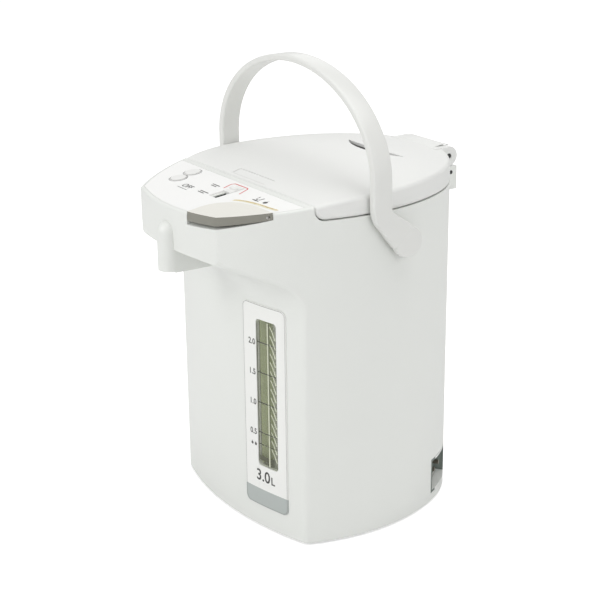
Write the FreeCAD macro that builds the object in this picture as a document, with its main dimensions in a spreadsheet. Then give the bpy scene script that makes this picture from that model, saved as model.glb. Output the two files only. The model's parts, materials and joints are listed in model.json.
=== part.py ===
import FreeCAD, Part
import math
import operator
import os

import Sketcher

# Electric thermo pot: a D-shaped white body with a hinged lid, a bail handle, a tilted
# control head with a pour lever and an electric pump that lifts water from the container
# through the gauge tube to the spout.
# Frame: the spout is at the front and points along -Y, +X is to the right when the front is
# seen from ahead, and +Z is up. The origin is under the middle of the outer box, on the table.

os.makedirs("parts", exist_ok=True)
doc = FreeCAD.newDocument("thermo_pot")

# Driving dimensions in millimetres, or plain ratios where the name says rise
DIMENSIONS = {
    # plan of the body, shared by body, collar and lid
    "body_width": 218.4,
    "side_radius": 162.8,
    "back_radius": 100.7,
    "widest_y": -4.8,
    "body_front_y": -79.2,
    "body_front_radius": 309.0,
    "head_front_y": -129.3,
    "head_front_radius": 203.0,
    "wall": 2.4,
    "draft": 1.6,
    # heights of the outer pieces
    "shell_bottom_z": 2.0,
    "parting_front_z": 250.0,
    "parting_rise": 0.042,
    "lid_parting_z": 274.5,
    "seam_y": -56.0,
    "seam_z": 286.2,
    "panel_rise": 0.12,
    "cove_base_z": 199.5,
    "cove_radius": 28.0,
    "underside_rise": 0.532,
    "lid_corner_radius": 9.0,
    "seam_gap": 0.5,
    "body_crease": 5.0,
    "head_crease": 3.5,
    "top_round": 3.0,
    "head_round": 2.2,
    # lid roof: shoulder and crown heights from the seam to the back
    "shoulder_seam_z": 285.2,
    "shoulder_mid_z": 290.8,
    "crown_quarter_z": 292.6,
    "crown_mid_z": 296.8,
    "crown_back_z": 294.2,
    # clearances
    "still_gap": 0.3,
    "moving_gap": 0.4,
    "pin_gap": 0.08,
    # spout
    "spout_inset": 1.3,
    "spout_radius": 9.5,
    "spout_bottom_z": 224.5,
    "spout_wall": 1.6,
    "dome_z": 255.5,
    "nozzle_radius": 5.4,
    "nozzle_bore": 3.9,
    # pour lever and its pocket
    "lever_left_x": 28.0,
    "lever_length": 44.8,
    "lever_pocket_front_z": 267.4,
    "lever_pocket_back_z": 278.0,
    "lever_travel_gap": 3.4,
    "lever_proud": 1.0,
    "lever_pin_radius": 1.5,
    "lever_pin_z": 279.6,
    # lock slider and keys
    "lock_x": 12.0,
    "lock_to_seam": 24.5,
    "lock_slot_width": 11.0,
    "lock_slot_length": 27.0,
    "lock_knob_length": 13.0,
    "key_radius": 6.6,
    "key_proud": 0.7,
    "key_front_x": -54.0,
    "key_front_to_seam": 32.0,
    "key_back_x": -57.5,
    "key_back_to_seam": 16.5,
    "panel_plate": 1.2,
    "panel_margin": 3.0,
    # container and mouth
    "container_radius": 77.5,
    "container_floor_z": 61.0,
    "container_rim_z": 235.0,
    "container_sheet": 0.8,
    "flange_width": 6.5,
    "mouth_step": 3.5,
    "mouth_wall": 2.4,
    "mouth_lip": 6.0,
    "mouth_lip_z": 253.5,
    "plug_gap": 3.0,
    "sleeve_thickness": 9.0,
    # gauge on the front
    "gauge_x": 57.2,
    "gauge_tube_radius": 5.0,
    "gauge_tube_bore": 3.8,
    "gauge_tube_y": -62.3,
    "gauge_tube_bottom_z": 44.0,
    "gauge_tube_top_z": 243.0,
    "window_width": 23.5,
    "window_bottom_z": 57.5,
    "window_top_z": 185.5,
    "window_corner": 3.2,
    "label_left_x": 29.0,
    "label_right_x": 79.0,
    "label_bottom_z": 21.0,
    "label_top_z": 198.0,
    "label_sheet": 0.8,
    "label_corner": 5.0,
    # handle
    "handle_thickness": 7.5,
    "handle_width": 16.5,
    "handle_gap": 1.6,
    "handle_front_y": -11.0,
    "handle_spring_z": 300.0,
    "handle_rise": 83.5,
    "handle_kink_z": 279.0,
    "pivot_y": 22.5,
    "pivot_z": 249.5,
    "pivot_hub_radius": 13.0,
    "pivot_pin_radius": 4.0,
    "pivot_boss_radius": 6.4,
    # hinge
    "hinge_behind": 1.74,
    "hinge_z": 287.0,
    "hinge_knuckle_radius": 8.4,
    "hinge_half_width": 31.5,
    "hinge_ear_width": 8.0,
    "hinge_pin_radius": 2.5,
    "hinge_bottom_z": 257.5,
    # pump and base
    "pump_x": 38.0,
    "pump_y": -12.0,
    "pump_radius": 26.0,
    "pump_base_z": 33.0,
    "impeller_radius": 20.0,
    "motor_radius": 15.0,
    "motor_shaft_radius": 1.5,
    "base_sheet": 3.0,
    "base_z": 4.0,
    "foot_radius": 9.0,
    "chassis_z": 50.0,
    # inlet socket, on the back arc
    "inlet_angle": 39.6,
    "inlet_width": 44.0,
    "inlet_bottom_z": 11.0,
    "inlet_height": 27.0,
    "inlet_depth": 14.0,
    "inlet_wall": 2.0,
}

sheet = doc.addObject("Spreadsheet::Sheet", "sizes")
for row, (alias, number) in enumerate(DIMENSIONS.items(), start=1):
    sheet.set(f"A{row}", alias)
    sheet.set(f"B{row}", str(number))
    sheet.setAlias(f"B{row}", alias)
doc.recompute()

OPERATIONS = {"+": operator.add, "-": operator.sub, "*": operator.mul, "/": operator.truediv}


class Size:
    """A length, with the sheet formula that gives it."""

    def __init__(self, number, text):
        self.number = number
        self.text = text

    def __add__(self, other):
        return combine(self, "+", other)

    def __radd__(self, other):
        return combine(other, "+", self)

    def __sub__(self, other):
        return combine(self, "-", other)

    def __rsub__(self, other):
        return combine(other, "-", self)

    def __mul__(self, other):
        return combine(self, "*", other)

    def __rmul__(self, other):
        return combine(other, "*", self)

    def __truediv__(self, other):
        return combine(self, "/", other)

    def __rtruediv__(self, other):
        return combine(other, "/", self)

    def __neg__(self):
        return combine(0, "-", self)


def sized(value):
    if isinstance(value, Size):
        return value
    return Size(float(value), f"({float(value)!r})")


def combine(left, sign, right):
    left = sized(left)
    right = sized(right)
    number = OPERATIONS[sign](left.number, right.number)
    return Size(number, f"({left.text} {sign} {right.text})")


def root(value):
    return Size(math.sqrt(value.number), f"sqrt({value.text})")


class Sheet:
    """Reads a cell of the sheet by its alias."""

    def __getattr__(self, alias):
        return Size(float(sheet.get(alias)), f"sizes.{alias}")


D = Sheet()


def bind(thing, prop, value):
    thing.setExpression(prop, sized(value).text)


# Sketches

def sketch_on(body, name, role, height=0):
    """Empty sketch on an origin plane of its own body, or in the open for an extrusion."""
    sketch = body.newObject("Sketcher::SketchObject", name)
    plane = [item for item in body.Origin.OriginFeatures if item.Role == role][0]
    sketch.AttachmentSupport = (plane, [""])
    sketch.MapMode = "FlatFace"
    bind(sketch, "AttachmentOffset.Base.z", height)
    return sketch


def measure(sketch, kind, *arguments):
    """One dimension of a sketch; the last argument is its size."""
    size = sized(arguments[-1])
    index = sketch.addConstraint(Sketcher.Constraint(kind, *arguments[:-1], size.number))
    sketch.setExpression(f"Constraints[{index}]", size.text)


def pin_point(sketch, curve, end, x, y):
    measure(sketch, "DistanceX", -1, 1, curve, end, x)
    measure(sketch, "DistanceY", -1, 1, curve, end, y)


def draw_polygon(sketch, corners):
    """Closed straight-sided outline with every corner tied to the sheet."""
    first = sketch.GeometryCount
    points = [FreeCAD.Vector(sized(x).number, sized(y).number, 0) for x, y in corners]
    count = len(points)
    for index in range(count):
        line = Part.LineSegment(points[index], points[(index + 1) % count])
        sketch.addGeometry(line, False)
    for index in range(count):
        following = first + (index + 1) % count
        sketch.addConstraint(Sketcher.Constraint("Coincident", first + index, 2, following, 1))
    for index, (x, y) in enumerate(corners):
        pin_point(sketch, first + index, 1, x, y)


def draw_circle(sketch, x, y, radius):
    centre = FreeCAD.Vector(sized(x).number, sized(y).number, 0)
    circle = Part.Circle(centre, FreeCAD.Vector(0, 0, 1), sized(radius).number)
    curve = sketch.addGeometry(circle, False)
    measure(sketch, "Radius", curve, radius)
    pin_point(sketch, curve, 3, x, y)


def draw_rectangle(sketch, left, right, low, high):
    draw_polygon(sketch, [(left, low), (right, low), (right, high), (left, high)])


def arc_of(centre, radius, start, end):
    circle = Part.Circle(FreeCAD.Vector(*centre, 0), FreeCAD.Vector(0, 0, 1), radius)
    return Part.ArcOfCircle(circle, start, end)


def draw_plan(sketch, front_y, front_radius, inset=0):
    """The D-shaped plan: back arc, two long side arcs and a shallow front arc."""
    inset = sized(inset)
    side_x = D.side_radius - D.body_width / 2
    side = D.side_radius - inset
    back = D.back_radius - inset
    front = front_radius - inset
    front_centre_y = front_y + front_radius
    reach = D.side_radius - D.back_radius
    back_y = D.widest_y.number + math.sqrt(reach.number ** 2 - side_x.number ** 2)
    turn = math.atan2(back_y - D.widest_y.number, side_x.number)
    # the crossing of the front arc with the right side arc
    gap_x = side_x.number
    gap_y = front_centre_y.number - D.widest_y.number
    gap = math.hypot(gap_x, gap_y)
    along = (side.number ** 2 - front.number ** 2 + gap ** 2) / (2 * gap)
    across = math.sqrt(side.number ** 2 - along ** 2)
    unit = (gap_x / gap, gap_y / gap)
    corner_x = -side_x.number + along * unit[0] + across * unit[1]
    corner_y = D.widest_y.number + along * unit[1] - across * unit[0]
    dip = math.atan2(corner_y - D.widest_y.number, corner_x + side_x.number)
    sweep = math.atan2(corner_x, front_centre_y.number - corner_y)
    down = 1.5 * math.pi
    middle = D.widest_y.number
    sketch.addGeometry(arc_of((-side_x.number, middle), side.number, dip, turn), False)
    sketch.addGeometry(arc_of((0, back_y), back.number, turn, math.pi - turn), False)
    sketch.addGeometry(arc_of((side_x.number, middle), side.number, math.pi - turn, math.pi - dip),
                       False)
    sketch.addGeometry(arc_of((0, front_centre_y.number), front.number, down - sweep, down + sweep),
                       False)
    measure(sketch, "Radius", 0, side)
    measure(sketch, "Radius", 1, back)
    measure(sketch, "Radius", 2, side)
    measure(sketch, "Radius", 3, front)
    pin_point(sketch, 0, 3, -side_x, D.widest_y)
    pin_point(sketch, 2, 3, side_x, D.widest_y)
    pin_point(sketch, 3, 3, 0, front_centre_y)
    sketch.addConstraint(Sketcher.Constraint("Tangent", 0, 2, 1, 1))
    sketch.addConstraint(Sketcher.Constraint("Tangent", 1, 2, 2, 1))
    sketch.addConstraint(Sketcher.Constraint("Coincident", 2, 2, 3, 1))
    sketch.addConstraint(Sketcher.Constraint("Coincident", 3, 2, 0, 1))


# Bodies made of features

def new_body(name):
    return doc.addObject("PartDesign::Body", name)


def add_feature(body, kind, sketch, name, **sizes):
    """A pad, pocket, revolution or groove of one sketch."""
    feature = body.newObject(f"PartDesign::{kind}", name)
    feature.Profile = sketch
    sketch.Visibility = False
    for prop, value in sizes.items():
        if isinstance(value, (bool, str)):
            setattr(feature, prop, value)
        else:
            bind(feature, prop, value)
    return feature


def revolve(body, name, corners, kind="Revolution", x=0, y=0):
    """Turns an outline of (radius, height) points about a vertical axis at x, y."""
    sketch = sketch_on(body, f"{name}_profile", "XZ_Plane", -sized(y))
    draw_polygon(sketch, [(sized(x) + radius, height) for radius, height in corners])
    low = sized(corners[0][1]).number
    at = sized(x).number
    axis = Part.LineSegment(FreeCAD.Vector(at, low - 10, 0), FreeCAD.Vector(at, low + 90, 0))
    line = sketch.addGeometry(axis, True)
    pin_point(sketch, line, 1, x, low - 10)
    pin_point(sketch, line, 2, x, low + 90)
    feature = body.newObject(f"PartDesign::{kind}", name)
    feature.Profile = sketch
    feature.ReferenceAxis = (sketch, ["Axis0"])
    feature.Angle = 360
    return feature


def turned(name, corners, x=0, y=0):
    body = new_body(name)
    revolve(body, f"{name}_turning", corners, x=x, y=y)
    return body


def tube(name, x, y, outer, inner, low, high):
    return turned(name, [(inner, low), (outer, low), (outer, high), (inner, high)], x, y)


def disc(name, x, y, radius, low, high):
    return turned(name, [(0, low), (radius, low), (radius, high), (0, high)], x, y)


def plate(name, left, right, front, back, low, high):
    """Rectangular plate or block."""
    body = new_body(name)
    sketch = sketch_on(body, f"{name}_outline", "XY_Plane", low)
    draw_rectangle(sketch, left, right, front, back)
    add_feature(body, "Pad", sketch, f"{name}_pad", Length=sized(high) - low)
    return body


def drill(body, name, x, y, radius, low, high):
    """Round hole along Z from the low to the high level."""
    sketch = sketch_on(body, f"{name}_circle", "XY_Plane", high)
    draw_circle(sketch, x, y, radius)
    return add_feature(body, "Pocket", sketch, name, Length=sized(high) - low)


def edges_where(shape, test):
    return [f"Edge{number}" for number, edge in enumerate(shape.Edges, start=1) if test(edge)]


def round_edges(body, name, radius, test):
    """Rounds the edges of the body's last feature that pass the test."""
    doc.recompute()
    last = body.Tip
    fillet = body.newObject("PartDesign::Fillet", name)
    fillet.Base = (last, edges_where(last.Shape, test))
    bind(fillet, "Radius", radius)
    doc.recompute()
    return fillet


# Primitives and booleans

def primitive(kind, name, at, turn=None, **sizes):
    thing = doc.addObject(f"Part::{kind}", name)
    for prop, value in sizes.items():
        bind(thing, prop, value)
    if turn is not None:
        axis, angle = turn
        thing.Placement.Rotation = FreeCAD.Rotation(FreeCAD.Vector(*axis), angle)
    for letter, value in zip("xyz", at):
        bind(thing, f"Placement.Base.{letter}", value)
    return thing


def block(name, left, right, front, back, low, high):
    return primitive("Box", name, (left, front, low), Length=sized(right) - left,
                     Width=sized(back) - front, Height=sized(high) - low)


def rod(name, at, radius, length, turn=None):
    return primitive("Cylinder", name, at, turn, Radius=radius, Height=length)


ALONG_X = ((0, 1, 0), 90)


def fuse(name, *things):
    joined = doc.addObject("Part::MultiFuse", name)
    joined.Shapes = list(things)
    joined.Refine = True
    return joined


def cut(name, base, *tools):
    tool = tools[0] if len(tools) == 1 else fuse(f"{name}_tools", *tools)
    result = doc.addObject("Part::Cut", name)
    result.Base = base
    result.Tool = tool
    result.Refine = True
    return result


def common(name, base, tool):
    result = doc.addObject("Part::Common", name)
    result.Base = base
    result.Tool = tool
    result.Refine = True
    return result


def group(name, *things):
    """Separate solids kept as one node."""
    gathered = doc.addObject("Part::Compound", name)
    gathered.Links = list(things)
    return gathered


def mirrored(name, source, normal=(1, 0, 0)):
    twin = doc.addObject("Part::Mirroring", name)
    twin.Source = source
    twin.Normal = FreeCAD.Vector(*normal)
    return twin


NODES = {}


def keep(label, thing):
    """Names a finished sub-part."""
    thing.Label = label
    NODES[label] = thing
    return thing


# Shared places

FAR = 400
BODY_HALF = D.body_width / 2
SIDE_X = D.side_radius - BODY_HALF
BACK_Y = D.widest_y + root((D.side_radius - D.back_radius) * (D.side_radius - D.back_radius)
                           - SIDE_X * SIDE_X)
FRONT_AXIS_Y = D.body_front_y + D.body_front_radius
SLOPE_LENGTH = root(1 + D.underside_rise * D.underside_rise)
COVE_END_R = D.body_front_radius + D.cove_radius * (1 - D.underside_rise / SLOPE_LENGTH)
COVE_END_Z = D.cove_base_z + D.cove_radius / SLOPE_LENGTH
LID_LOW_Z = D.lid_parting_z + D.seam_gap
INNER_LOW_Z = D.base_z + D.base_sheet
HINGE_Y = BACK_Y + D.back_radius + D.hinge_behind
SPOUT_Y = D.head_front_y + D.spout_inset
LEVER_BACK_Y = D.head_front_y + D.lever_length
LOCK_Y = D.seam_y - D.lock_to_seam
ROUND_KEYS = (("front", D.key_front_x, D.seam_y - D.key_front_to_seam),
              ("back", D.key_back_x, D.seam_y - D.key_back_to_seam))
MOUTH_RADIUS = D.container_radius - D.mouth_step
PLUG_RADIUS = MOUTH_RADIUS - D.plug_gap


def parting_z(y, drop=0):
    return D.parting_front_z + (sized(y) - SPOUT_Y) * D.parting_rise - drop


def panel_z(y, drop=0):
    return D.seam_z + (sized(y) - D.seam_y) * D.panel_rise - drop


def plan_sketch(body, name, height, inset, body_only=False):
    sketch = sketch_on(body, name, "XY_Plane", height)
    if body_only:
        draw_plan(sketch, D.body_front_y, D.body_front_radius, inset)
    else:
        draw_plan(sketch, D.head_front_y, D.head_front_radius, inset)
    sketch.Visibility = False
    return sketch


def plan_prism(name, low, high, inset=0, body_only=False):
    """Upright prism of the plan."""
    body = new_body(name)
    sketch = plan_sketch(body, f"{name}_plan", low, inset, body_only)
    add_feature(body, "Pad", sketch, f"{name}_pad", Length=sized(high) - low)
    return body


def plan_drafted(name, low, high, inset=0):
    """Prism of the plan that narrows towards its foot by the draft."""
    body = new_body(name)
    foot = plan_sketch(body, f"{name}_foot", low, inset + D.draft)
    top = plan_sketch(body, f"{name}_top", high, inset)
    loft = body.newObject("PartDesign::AdditiveLoft", f"{name}_loft")
    loft.Profile = foot
    loft.Sections = [top]
    loft.Ruled = True
    return body


def side_cut(body, name, corners):
    """Cuts a side-view outline of (y, z) corners right through the body along X."""
    sketch = sketch_on(body, f"{name}_side", "YZ_Plane", 0)
    draw_polygon(sketch, corners)
    return add_feature(body, "Pocket", sketch, name, Length=2 * FAR, SideType="Symmetric")


def hollow_under_head(body, name, inset=0):
    """Grooves the space under the head: an upright front wall, a concave cove and a slope.

    The cove is one arc, tangent to the wall and to the slope.
    """
    inset = sized(inset)
    sketch = sketch_on(body, f"{name}_profile", "YZ_Plane", 0)
    wall_y = D.body_front_y + inset
    centre_y = D.body_front_y - D.cove_radius
    radius = D.cove_radius + inset
    end_y = centre_y + radius * D.underside_rise / SLOPE_LENGTH
    end_z = D.cove_base_z + radius / SLOPE_LENGTH
    out_y = D.head_front_y - 60
    out_z = end_z + (end_y - out_y) * D.underside_rise
    low = -20
    points = [(wall_y, low), (out_y, low), (out_y, out_z), (end_y, end_z)]
    vectors = [FreeCAD.Vector(sized(y).number, sized(z).number, 0) for y, z in points]
    top = FreeCAD.Vector(wall_y.number, D.cove_base_z.number, 0)
    for start, end in zip(vectors, vectors[1:]):
        sketch.addGeometry(Part.LineSegment(start, end), False)
    angle = math.atan2(1, D.underside_rise.number)
    sketch.addGeometry(arc_of((centre_y.number, D.cove_base_z.number), radius.number, 0, angle), False)
    sketch.addGeometry(Part.LineSegment(top, vectors[0]), False)
    for curve, (y, z) in enumerate(points[:3]):
        pin_point(sketch, curve, 1, y, z)
    pin_point(sketch, 2, 2, end_y, end_z)
    pin_point(sketch, 3, 3, centre_y, D.cove_base_z)
    for first, second in ((0, 1), (1, 2)):
        sketch.addConstraint(Sketcher.Constraint("Coincident", first, 2, second, 1))
    sketch.addConstraint(Sketcher.Constraint("Coincident", 2, 2, 3, 2))
    sketch.addConstraint(Sketcher.Constraint("Coincident", 4, 2, 0, 1))
    sketch.addConstraint(Sketcher.Constraint("Coincident", 3, 1, 4, 1))
    measure(sketch, "DistanceY", -1, 1, 4, 1, D.cove_base_z)
    axis = Part.LineSegment(FreeCAD.Vector(FRONT_AXIS_Y.number, 0, 0),
                            FreeCAD.Vector(FRONT_AXIS_Y.number, 100, 0))
    line = sketch.addGeometry(axis, True)
    pin_point(sketch, line, 1, FRONT_AXIS_Y, 0)
    pin_point(sketch, line, 2, FRONT_AXIS_Y, 100)
    groove = body.newObject("PartDesign::Groove", name)
    groove.Profile = sketch
    groove.ReferenceAxis = (sketch, ["Axis0"])
    groove.Angle = 360
    return groove


# Body shell: everything below the sloping parting line

def is_crease(edge):
    """Edges of the body's front corners, up the wall and round the cove."""
    box = edge.BoundBox
    low_half = box.ZMin > 1 and abs(box.Center.x) > D.body_width.number / 4
    front = box.YMax < D.body_front_y.number + 40
    return low_half and front and box.ZLength > 5


def make_body_outer(name, inset):
    body = plan_drafted(name, D.shell_bottom_z - inset, D.lid_parting_z, inset)
    hollow_under_head(body, f"{name}_cove", inset)
    side_cut(body, f"{name}_rim", [(-FAR, parting_z(-FAR)), (FAR, parting_z(FAR)),
                                   (FAR, FAR), (-FAR, FAR)])
    return body


body_outer = make_body_outer("body_outer", sized(0))
round_edges(body_outer, "body_front_corners", D.body_crease, is_crease)
body_inner = make_body_outer("body_inner", D.wall)

BOSS_END = BODY_HALF - D.still_gap + D.handle_gap - 0.9
boss = rod("pivot_boss", (BODY_HALF - 9, D.pivot_y, D.pivot_z), D.pivot_boss_radius,
           BOSS_END - BODY_HALF + 9, ALONG_X)
boss_hole = rod("pivot_hole", (BODY_HALF - 20, D.pivot_y, D.pivot_z),
                D.pivot_pin_radius + D.pin_gap, 40, ALONG_X)


def front_block(name, left, right, low, high, corner):
    """Block across the front wall with its four long edges rounded."""
    body = new_body(name)
    sketch = sketch_on(body, f"{name}_outline", "XZ_Plane", -(D.body_front_y + 30))
    draw_rectangle(sketch, left, right, low, high)
    add_feature(body, "Pad", sketch, f"{name}_pad", Length=60)
    round_edges(body, f"{name}_corners", corner, lambda edge: edge.BoundBox.YLength > 50)
    return body


window_hole = front_block("window_hole", D.gauge_x - D.window_width / 2, D.gauge_x + D.window_width / 2,
                          D.window_bottom_z, D.window_top_z, D.window_corner)
spout_passage = rod("spout_passage", (0, SPOUT_Y, D.spout_bottom_z),
                    D.nozzle_radius + D.still_gap, D.dome_z - D.spout_bottom_z)
inlet_turn = ((0, 0, 1), D.inlet_angle.number)
cos_inlet = math.cos(math.radians(D.inlet_angle.number))
sin_inlet = math.sin(math.radians(D.inlet_angle.number))


def inlet_box(name, reach_in, reach_out, half_width, low, high):
    """Block along the inlet's outward direction, measured from the back arc."""
    near = D.back_radius - reach_in
    x = near * cos_inlet + half_width * sin_inlet
    y = BACK_Y + near * sin_inlet - half_width * cos_inlet
    return primitive("Box", name, (x, y, low), inlet_turn, Length=sized(reach_in) + reach_out,
                     Width=2 * half_width, Height=sized(high) - low)


INLET_TOP_Z = D.inlet_bottom_z + D.inlet_height
INLET_HALF = D.inlet_width / 2
inlet_hole = inlet_box("inlet_hole", 20, 10, INLET_HALF + D.inlet_wall + D.still_gap,
                       D.inlet_bottom_z - D.inlet_wall - D.still_gap,
                       INLET_TOP_Z + D.inlet_wall + D.still_gap)

# posts for the screws of the base cover, joined to the walls
POST_RADIUS = sized(4.0)
POST_PLACES = [(-90, -20), (90, -20), (-72, 78), (36, 108)]
SCREW_BORE = sized(1.25)
posts = [rod(f"screw_post_{index}", (x, y, INNER_LOW_Z + D.still_gap), POST_RADIUS, 24)
         for index, (x, y) in enumerate(POST_PLACES, start=1)]
ribs = []
for index, (x, y) in enumerate(POST_PLACES, start=1):
    left, right = (-BODY_HALF, x) if x < 0 else (x, BODY_HALF)
    ribs.append(block(f"post_rib_{index}", left, right, y - 1, y + 1, INNER_LOW_Z + D.still_gap + 2,
                      INNER_LOW_Z + 22))
post_bores = [rod(f"post_bore_{index}", (x, y, INNER_LOW_Z), SCREW_BORE, 14)
              for index, (x, y) in enumerate(POST_PLACES, start=1)]
ribs_inside = common("post_ribs_inside", fuse("post_ribs", *ribs), body_outer)
body_walls = cut("body_walls", body_outer, body_inner)
body_joined = fuse("body_joined", body_walls, boss, mirrored("pivot_boss_left", boss),
                   *posts, ribs_inside)
keep("body_shell", cut("body_shell_cut", body_joined, boss_hole,
                       mirrored("pivot_hole_left", boss_hole), window_hole, spout_passage,
                       inlet_hole, *post_bores))

# Collar: the top ring with the control head

STEP_BACK_Y = D.seam_y + D.seam_gap


def collar_body(name, inset, deck):
    """Collar block: sloping foot, tilted head and the flat step that the lid lies on."""
    body = plan_prism(name, D.parting_front_z - 20, D.seam_z + 20, inset)
    side_cut(body, f"{name}_foot", [(-FAR, 0), (FAR, 0), (FAR, parting_z(FAR, deck)),
                                    (-FAR, parting_z(-FAR, deck))])
    step_y = STEP_BACK_Y - deck
    step_z = D.lid_parting_z - deck
    side_cut(body, f"{name}_top", [(-FAR, panel_z(-FAR, deck)), (step_y, panel_z(STEP_BACK_Y, deck)),
                                   (step_y, FAR), (-FAR, FAR)])
    side_cut(body, f"{name}_step", [(step_y, step_z), (FAR, step_z), (FAR, FAR), (step_y, FAR)])
    return body


def on_panel(edge):
    """Edges that lie in the tilted panel plane, apart from the one at the seam."""
    heights = [vertex.Z - panel_z(vertex.Y).number for vertex in edge.Vertexes]
    level = max(abs(height) for height in heights) < 0.02
    return level and edge.BoundBox.YLength > 0.5


collar_outer = collar_body("collar_outer", sized(0), sized(0))
round_edges(collar_outer, "collar_step_corner", D.lid_corner_radius - D.seam_gap,
            lambda edge: edge.BoundBox.XLength > 150 and edge.BoundBox.YLength < 0.01
            and abs(edge.BoundBox.ZMin - D.lid_parting_z.number) < 0.01)
round_edges(collar_outer, "head_corner", D.head_crease,
            lambda edge: edge.BoundBox.ZLength > 15 and edge.BoundBox.YMax < D.body_front_y.number
            and edge.BoundBox.YLength < 0.01)
round_edges(collar_outer, "head_rim", D.head_round,
            lambda edge: edge.BoundBox.YMax < D.seam_y.number + 1 and on_panel(edge))
collar_inner = collar_body("collar_inner", D.wall, D.wall)
collar_walls = cut("collar_walls", collar_outer, collar_inner)
dome = fuse("spout_dome", rod("dome_stem", (0, SPOUT_Y, D.parting_front_z + 0.5), D.spout_radius,
                              D.dome_z - D.parting_front_z - 0.5),
            primitive("Sphere", "dome_ball", (0, SPOUT_Y, D.dome_z), Radius=D.spout_radius))
dome_room = rod("dome_room", (0, SPOUT_Y, D.parting_front_z - 20), D.spout_radius - D.spout_wall,
                D.dome_z - D.parting_front_z + 20)
dome_outside = cut("dome_outside", dome, collar_inner)

# pocket of the pour lever: its outline from above and a floor that rises to the back
LEVER_ARC = [(D.lever_left_x + 3.2, D.head_front_y - 20), (D.lever_left_x + 0.8, LEVER_BACK_Y - 34.5),
             (D.lever_left_x, LEVER_BACK_Y - 29.4), (D.lever_left_x + 0.8, LEVER_BACK_Y - 22),
             (D.lever_left_x + 3.4, LEVER_BACK_Y - 15.7), (D.lever_left_x + 10.2, LEVER_BACK_Y - 8.2),
             (D.lever_left_x + 17.8, LEVER_BACK_Y - 3.6), (D.lever_left_x + 30.8, LEVER_BACK_Y - 0.6),
             (D.lever_left_x + 44.3, LEVER_BACK_Y), (BODY_HALF + 20, LEVER_BACK_Y),
             (BODY_HALF + 20, D.head_front_y - 20)]


def lever_block(name, low, high, shrink=0):
    """Upright block with the lever's outline, drawn in from the pocket by the shrink."""
    body = new_body(name)
    sketch = sketch_on(body, f"{name}_outline", "XY_Plane", low)
    draw_polygon(sketch, [(x + shrink, y - shrink) for x, y in LEVER_ARC])
    add_feature(body, "Pad", sketch, f"{name}_pad", Length=sized(high) - low)
    return body


LEVER_RUN = LEVER_BACK_Y - D.head_front_y
POCKET_RISE = (D.lever_pocket_back_z - D.lever_pocket_front_z) / LEVER_RUN


def pocket_z(y, lift=0):
    return D.lever_pocket_front_z + (sized(y) - D.head_front_y) * POCKET_RISE + lift


LEVER_RISE = (D.lever_pocket_back_z + 0.2 - D.lever_pocket_front_z - D.lever_travel_gap) / LEVER_RUN


def lever_z(y):
    return D.lever_pocket_front_z + D.lever_travel_gap + (sized(y) - D.head_front_y) * LEVER_RISE


pocket = lever_block("lever_pocket", 255, 300)
side_cut(pocket, "pocket_floor", [(-FAR, 0), (FAR, 0), (FAR, pocket_z(FAR)), (-FAR, pocket_z(-FAR))])
tray = lever_block("lever_tray", 250, 300, -D.wall)
side_cut(tray, "tray_floor", [(-FAR, 0), (FAR, 0), (FAR, pocket_z(FAR, -D.wall)),
                              (-FAR, pocket_z(-FAR, -D.wall))])
tray_inside = common("tray_inside", tray, collar_outer)
SWITCH_X = D.lever_left_x + 30
SWITCH_Y = D.head_front_y + 25.3
SWITCH_TOP_Z = D.lever_pocket_front_z - 5.9
switch_posts = [rod(f"switch_post_{index}", (SWITCH_X + side, SWITCH_Y, SWITCH_TOP_Z), 2.2, 10)
                for index, side in enumerate((-7.4, 7.4), start=1)]
SPRING_X = D.lever_left_x + 14
SPRING_Y = D.head_front_y + 15.3
SPRING_RADIUS = sized(4.0)
WELL_LOW_Z = D.lever_pocket_front_z - 9
well_out = SPRING_RADIUS + 1.6
spring_well = rod("spring_well", (SPRING_X, SPRING_Y, WELL_LOW_Z), well_out, 10)
spring_room = rod("spring_room", (SPRING_X, SPRING_Y, WELL_LOW_Z + 1.5), SPRING_RADIUS + D.moving_gap, 30)

# a level below the panel and above the spout hose, where cuts through the panel start
UNDER_PANEL_Z = D.seam_z - 24.2
SLOT_FRONT = LOCK_Y - D.lock_slot_length / 2
SLOT_BACK = LOCK_Y + D.lock_slot_length / 2
SLOT_LEFT = D.lock_x - D.lock_slot_width / 2
SLOT_RIGHT = D.lock_x + D.lock_slot_width / 2
lock_slot = block("lock_slot", SLOT_LEFT + 3, SLOT_RIGHT - 3, SLOT_FRONT + 2, SLOT_BACK - 2,
                  UNDER_PANEL_Z, 300)
key_holes = [rod(f"key_hole_{name}", (x, y, UNDER_PANEL_Z), D.key_radius + D.moving_gap, 40)
             for name, x, y in ROUND_KEYS]

# recess that the thin panel plate lies in

def panel_slab(name, low_drop, high_drop, margin):
    body = plan_prism(name, D.parting_front_z, D.seam_z + 30, margin)
    side_cut(body, f"{name}_under", [(-FAR, 0), (FAR, 0), (FAR, panel_z(FAR, low_drop)),
                                     (-FAR, panel_z(-FAR, low_drop))])
    side_cut(body, f"{name}_over", [(-FAR, panel_z(-FAR, high_drop)), (FAR, panel_z(FAR, high_drop)),
                                    (FAR, FAR), (-FAR, FAR)])
    side_cut(body, f"{name}_back", [(STEP_BACK_Y - D.wall - margin, 0), (FAR, 0), (FAR, FAR),
                                    (STEP_BACK_Y - D.wall - margin, FAR)])
    return body


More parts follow.
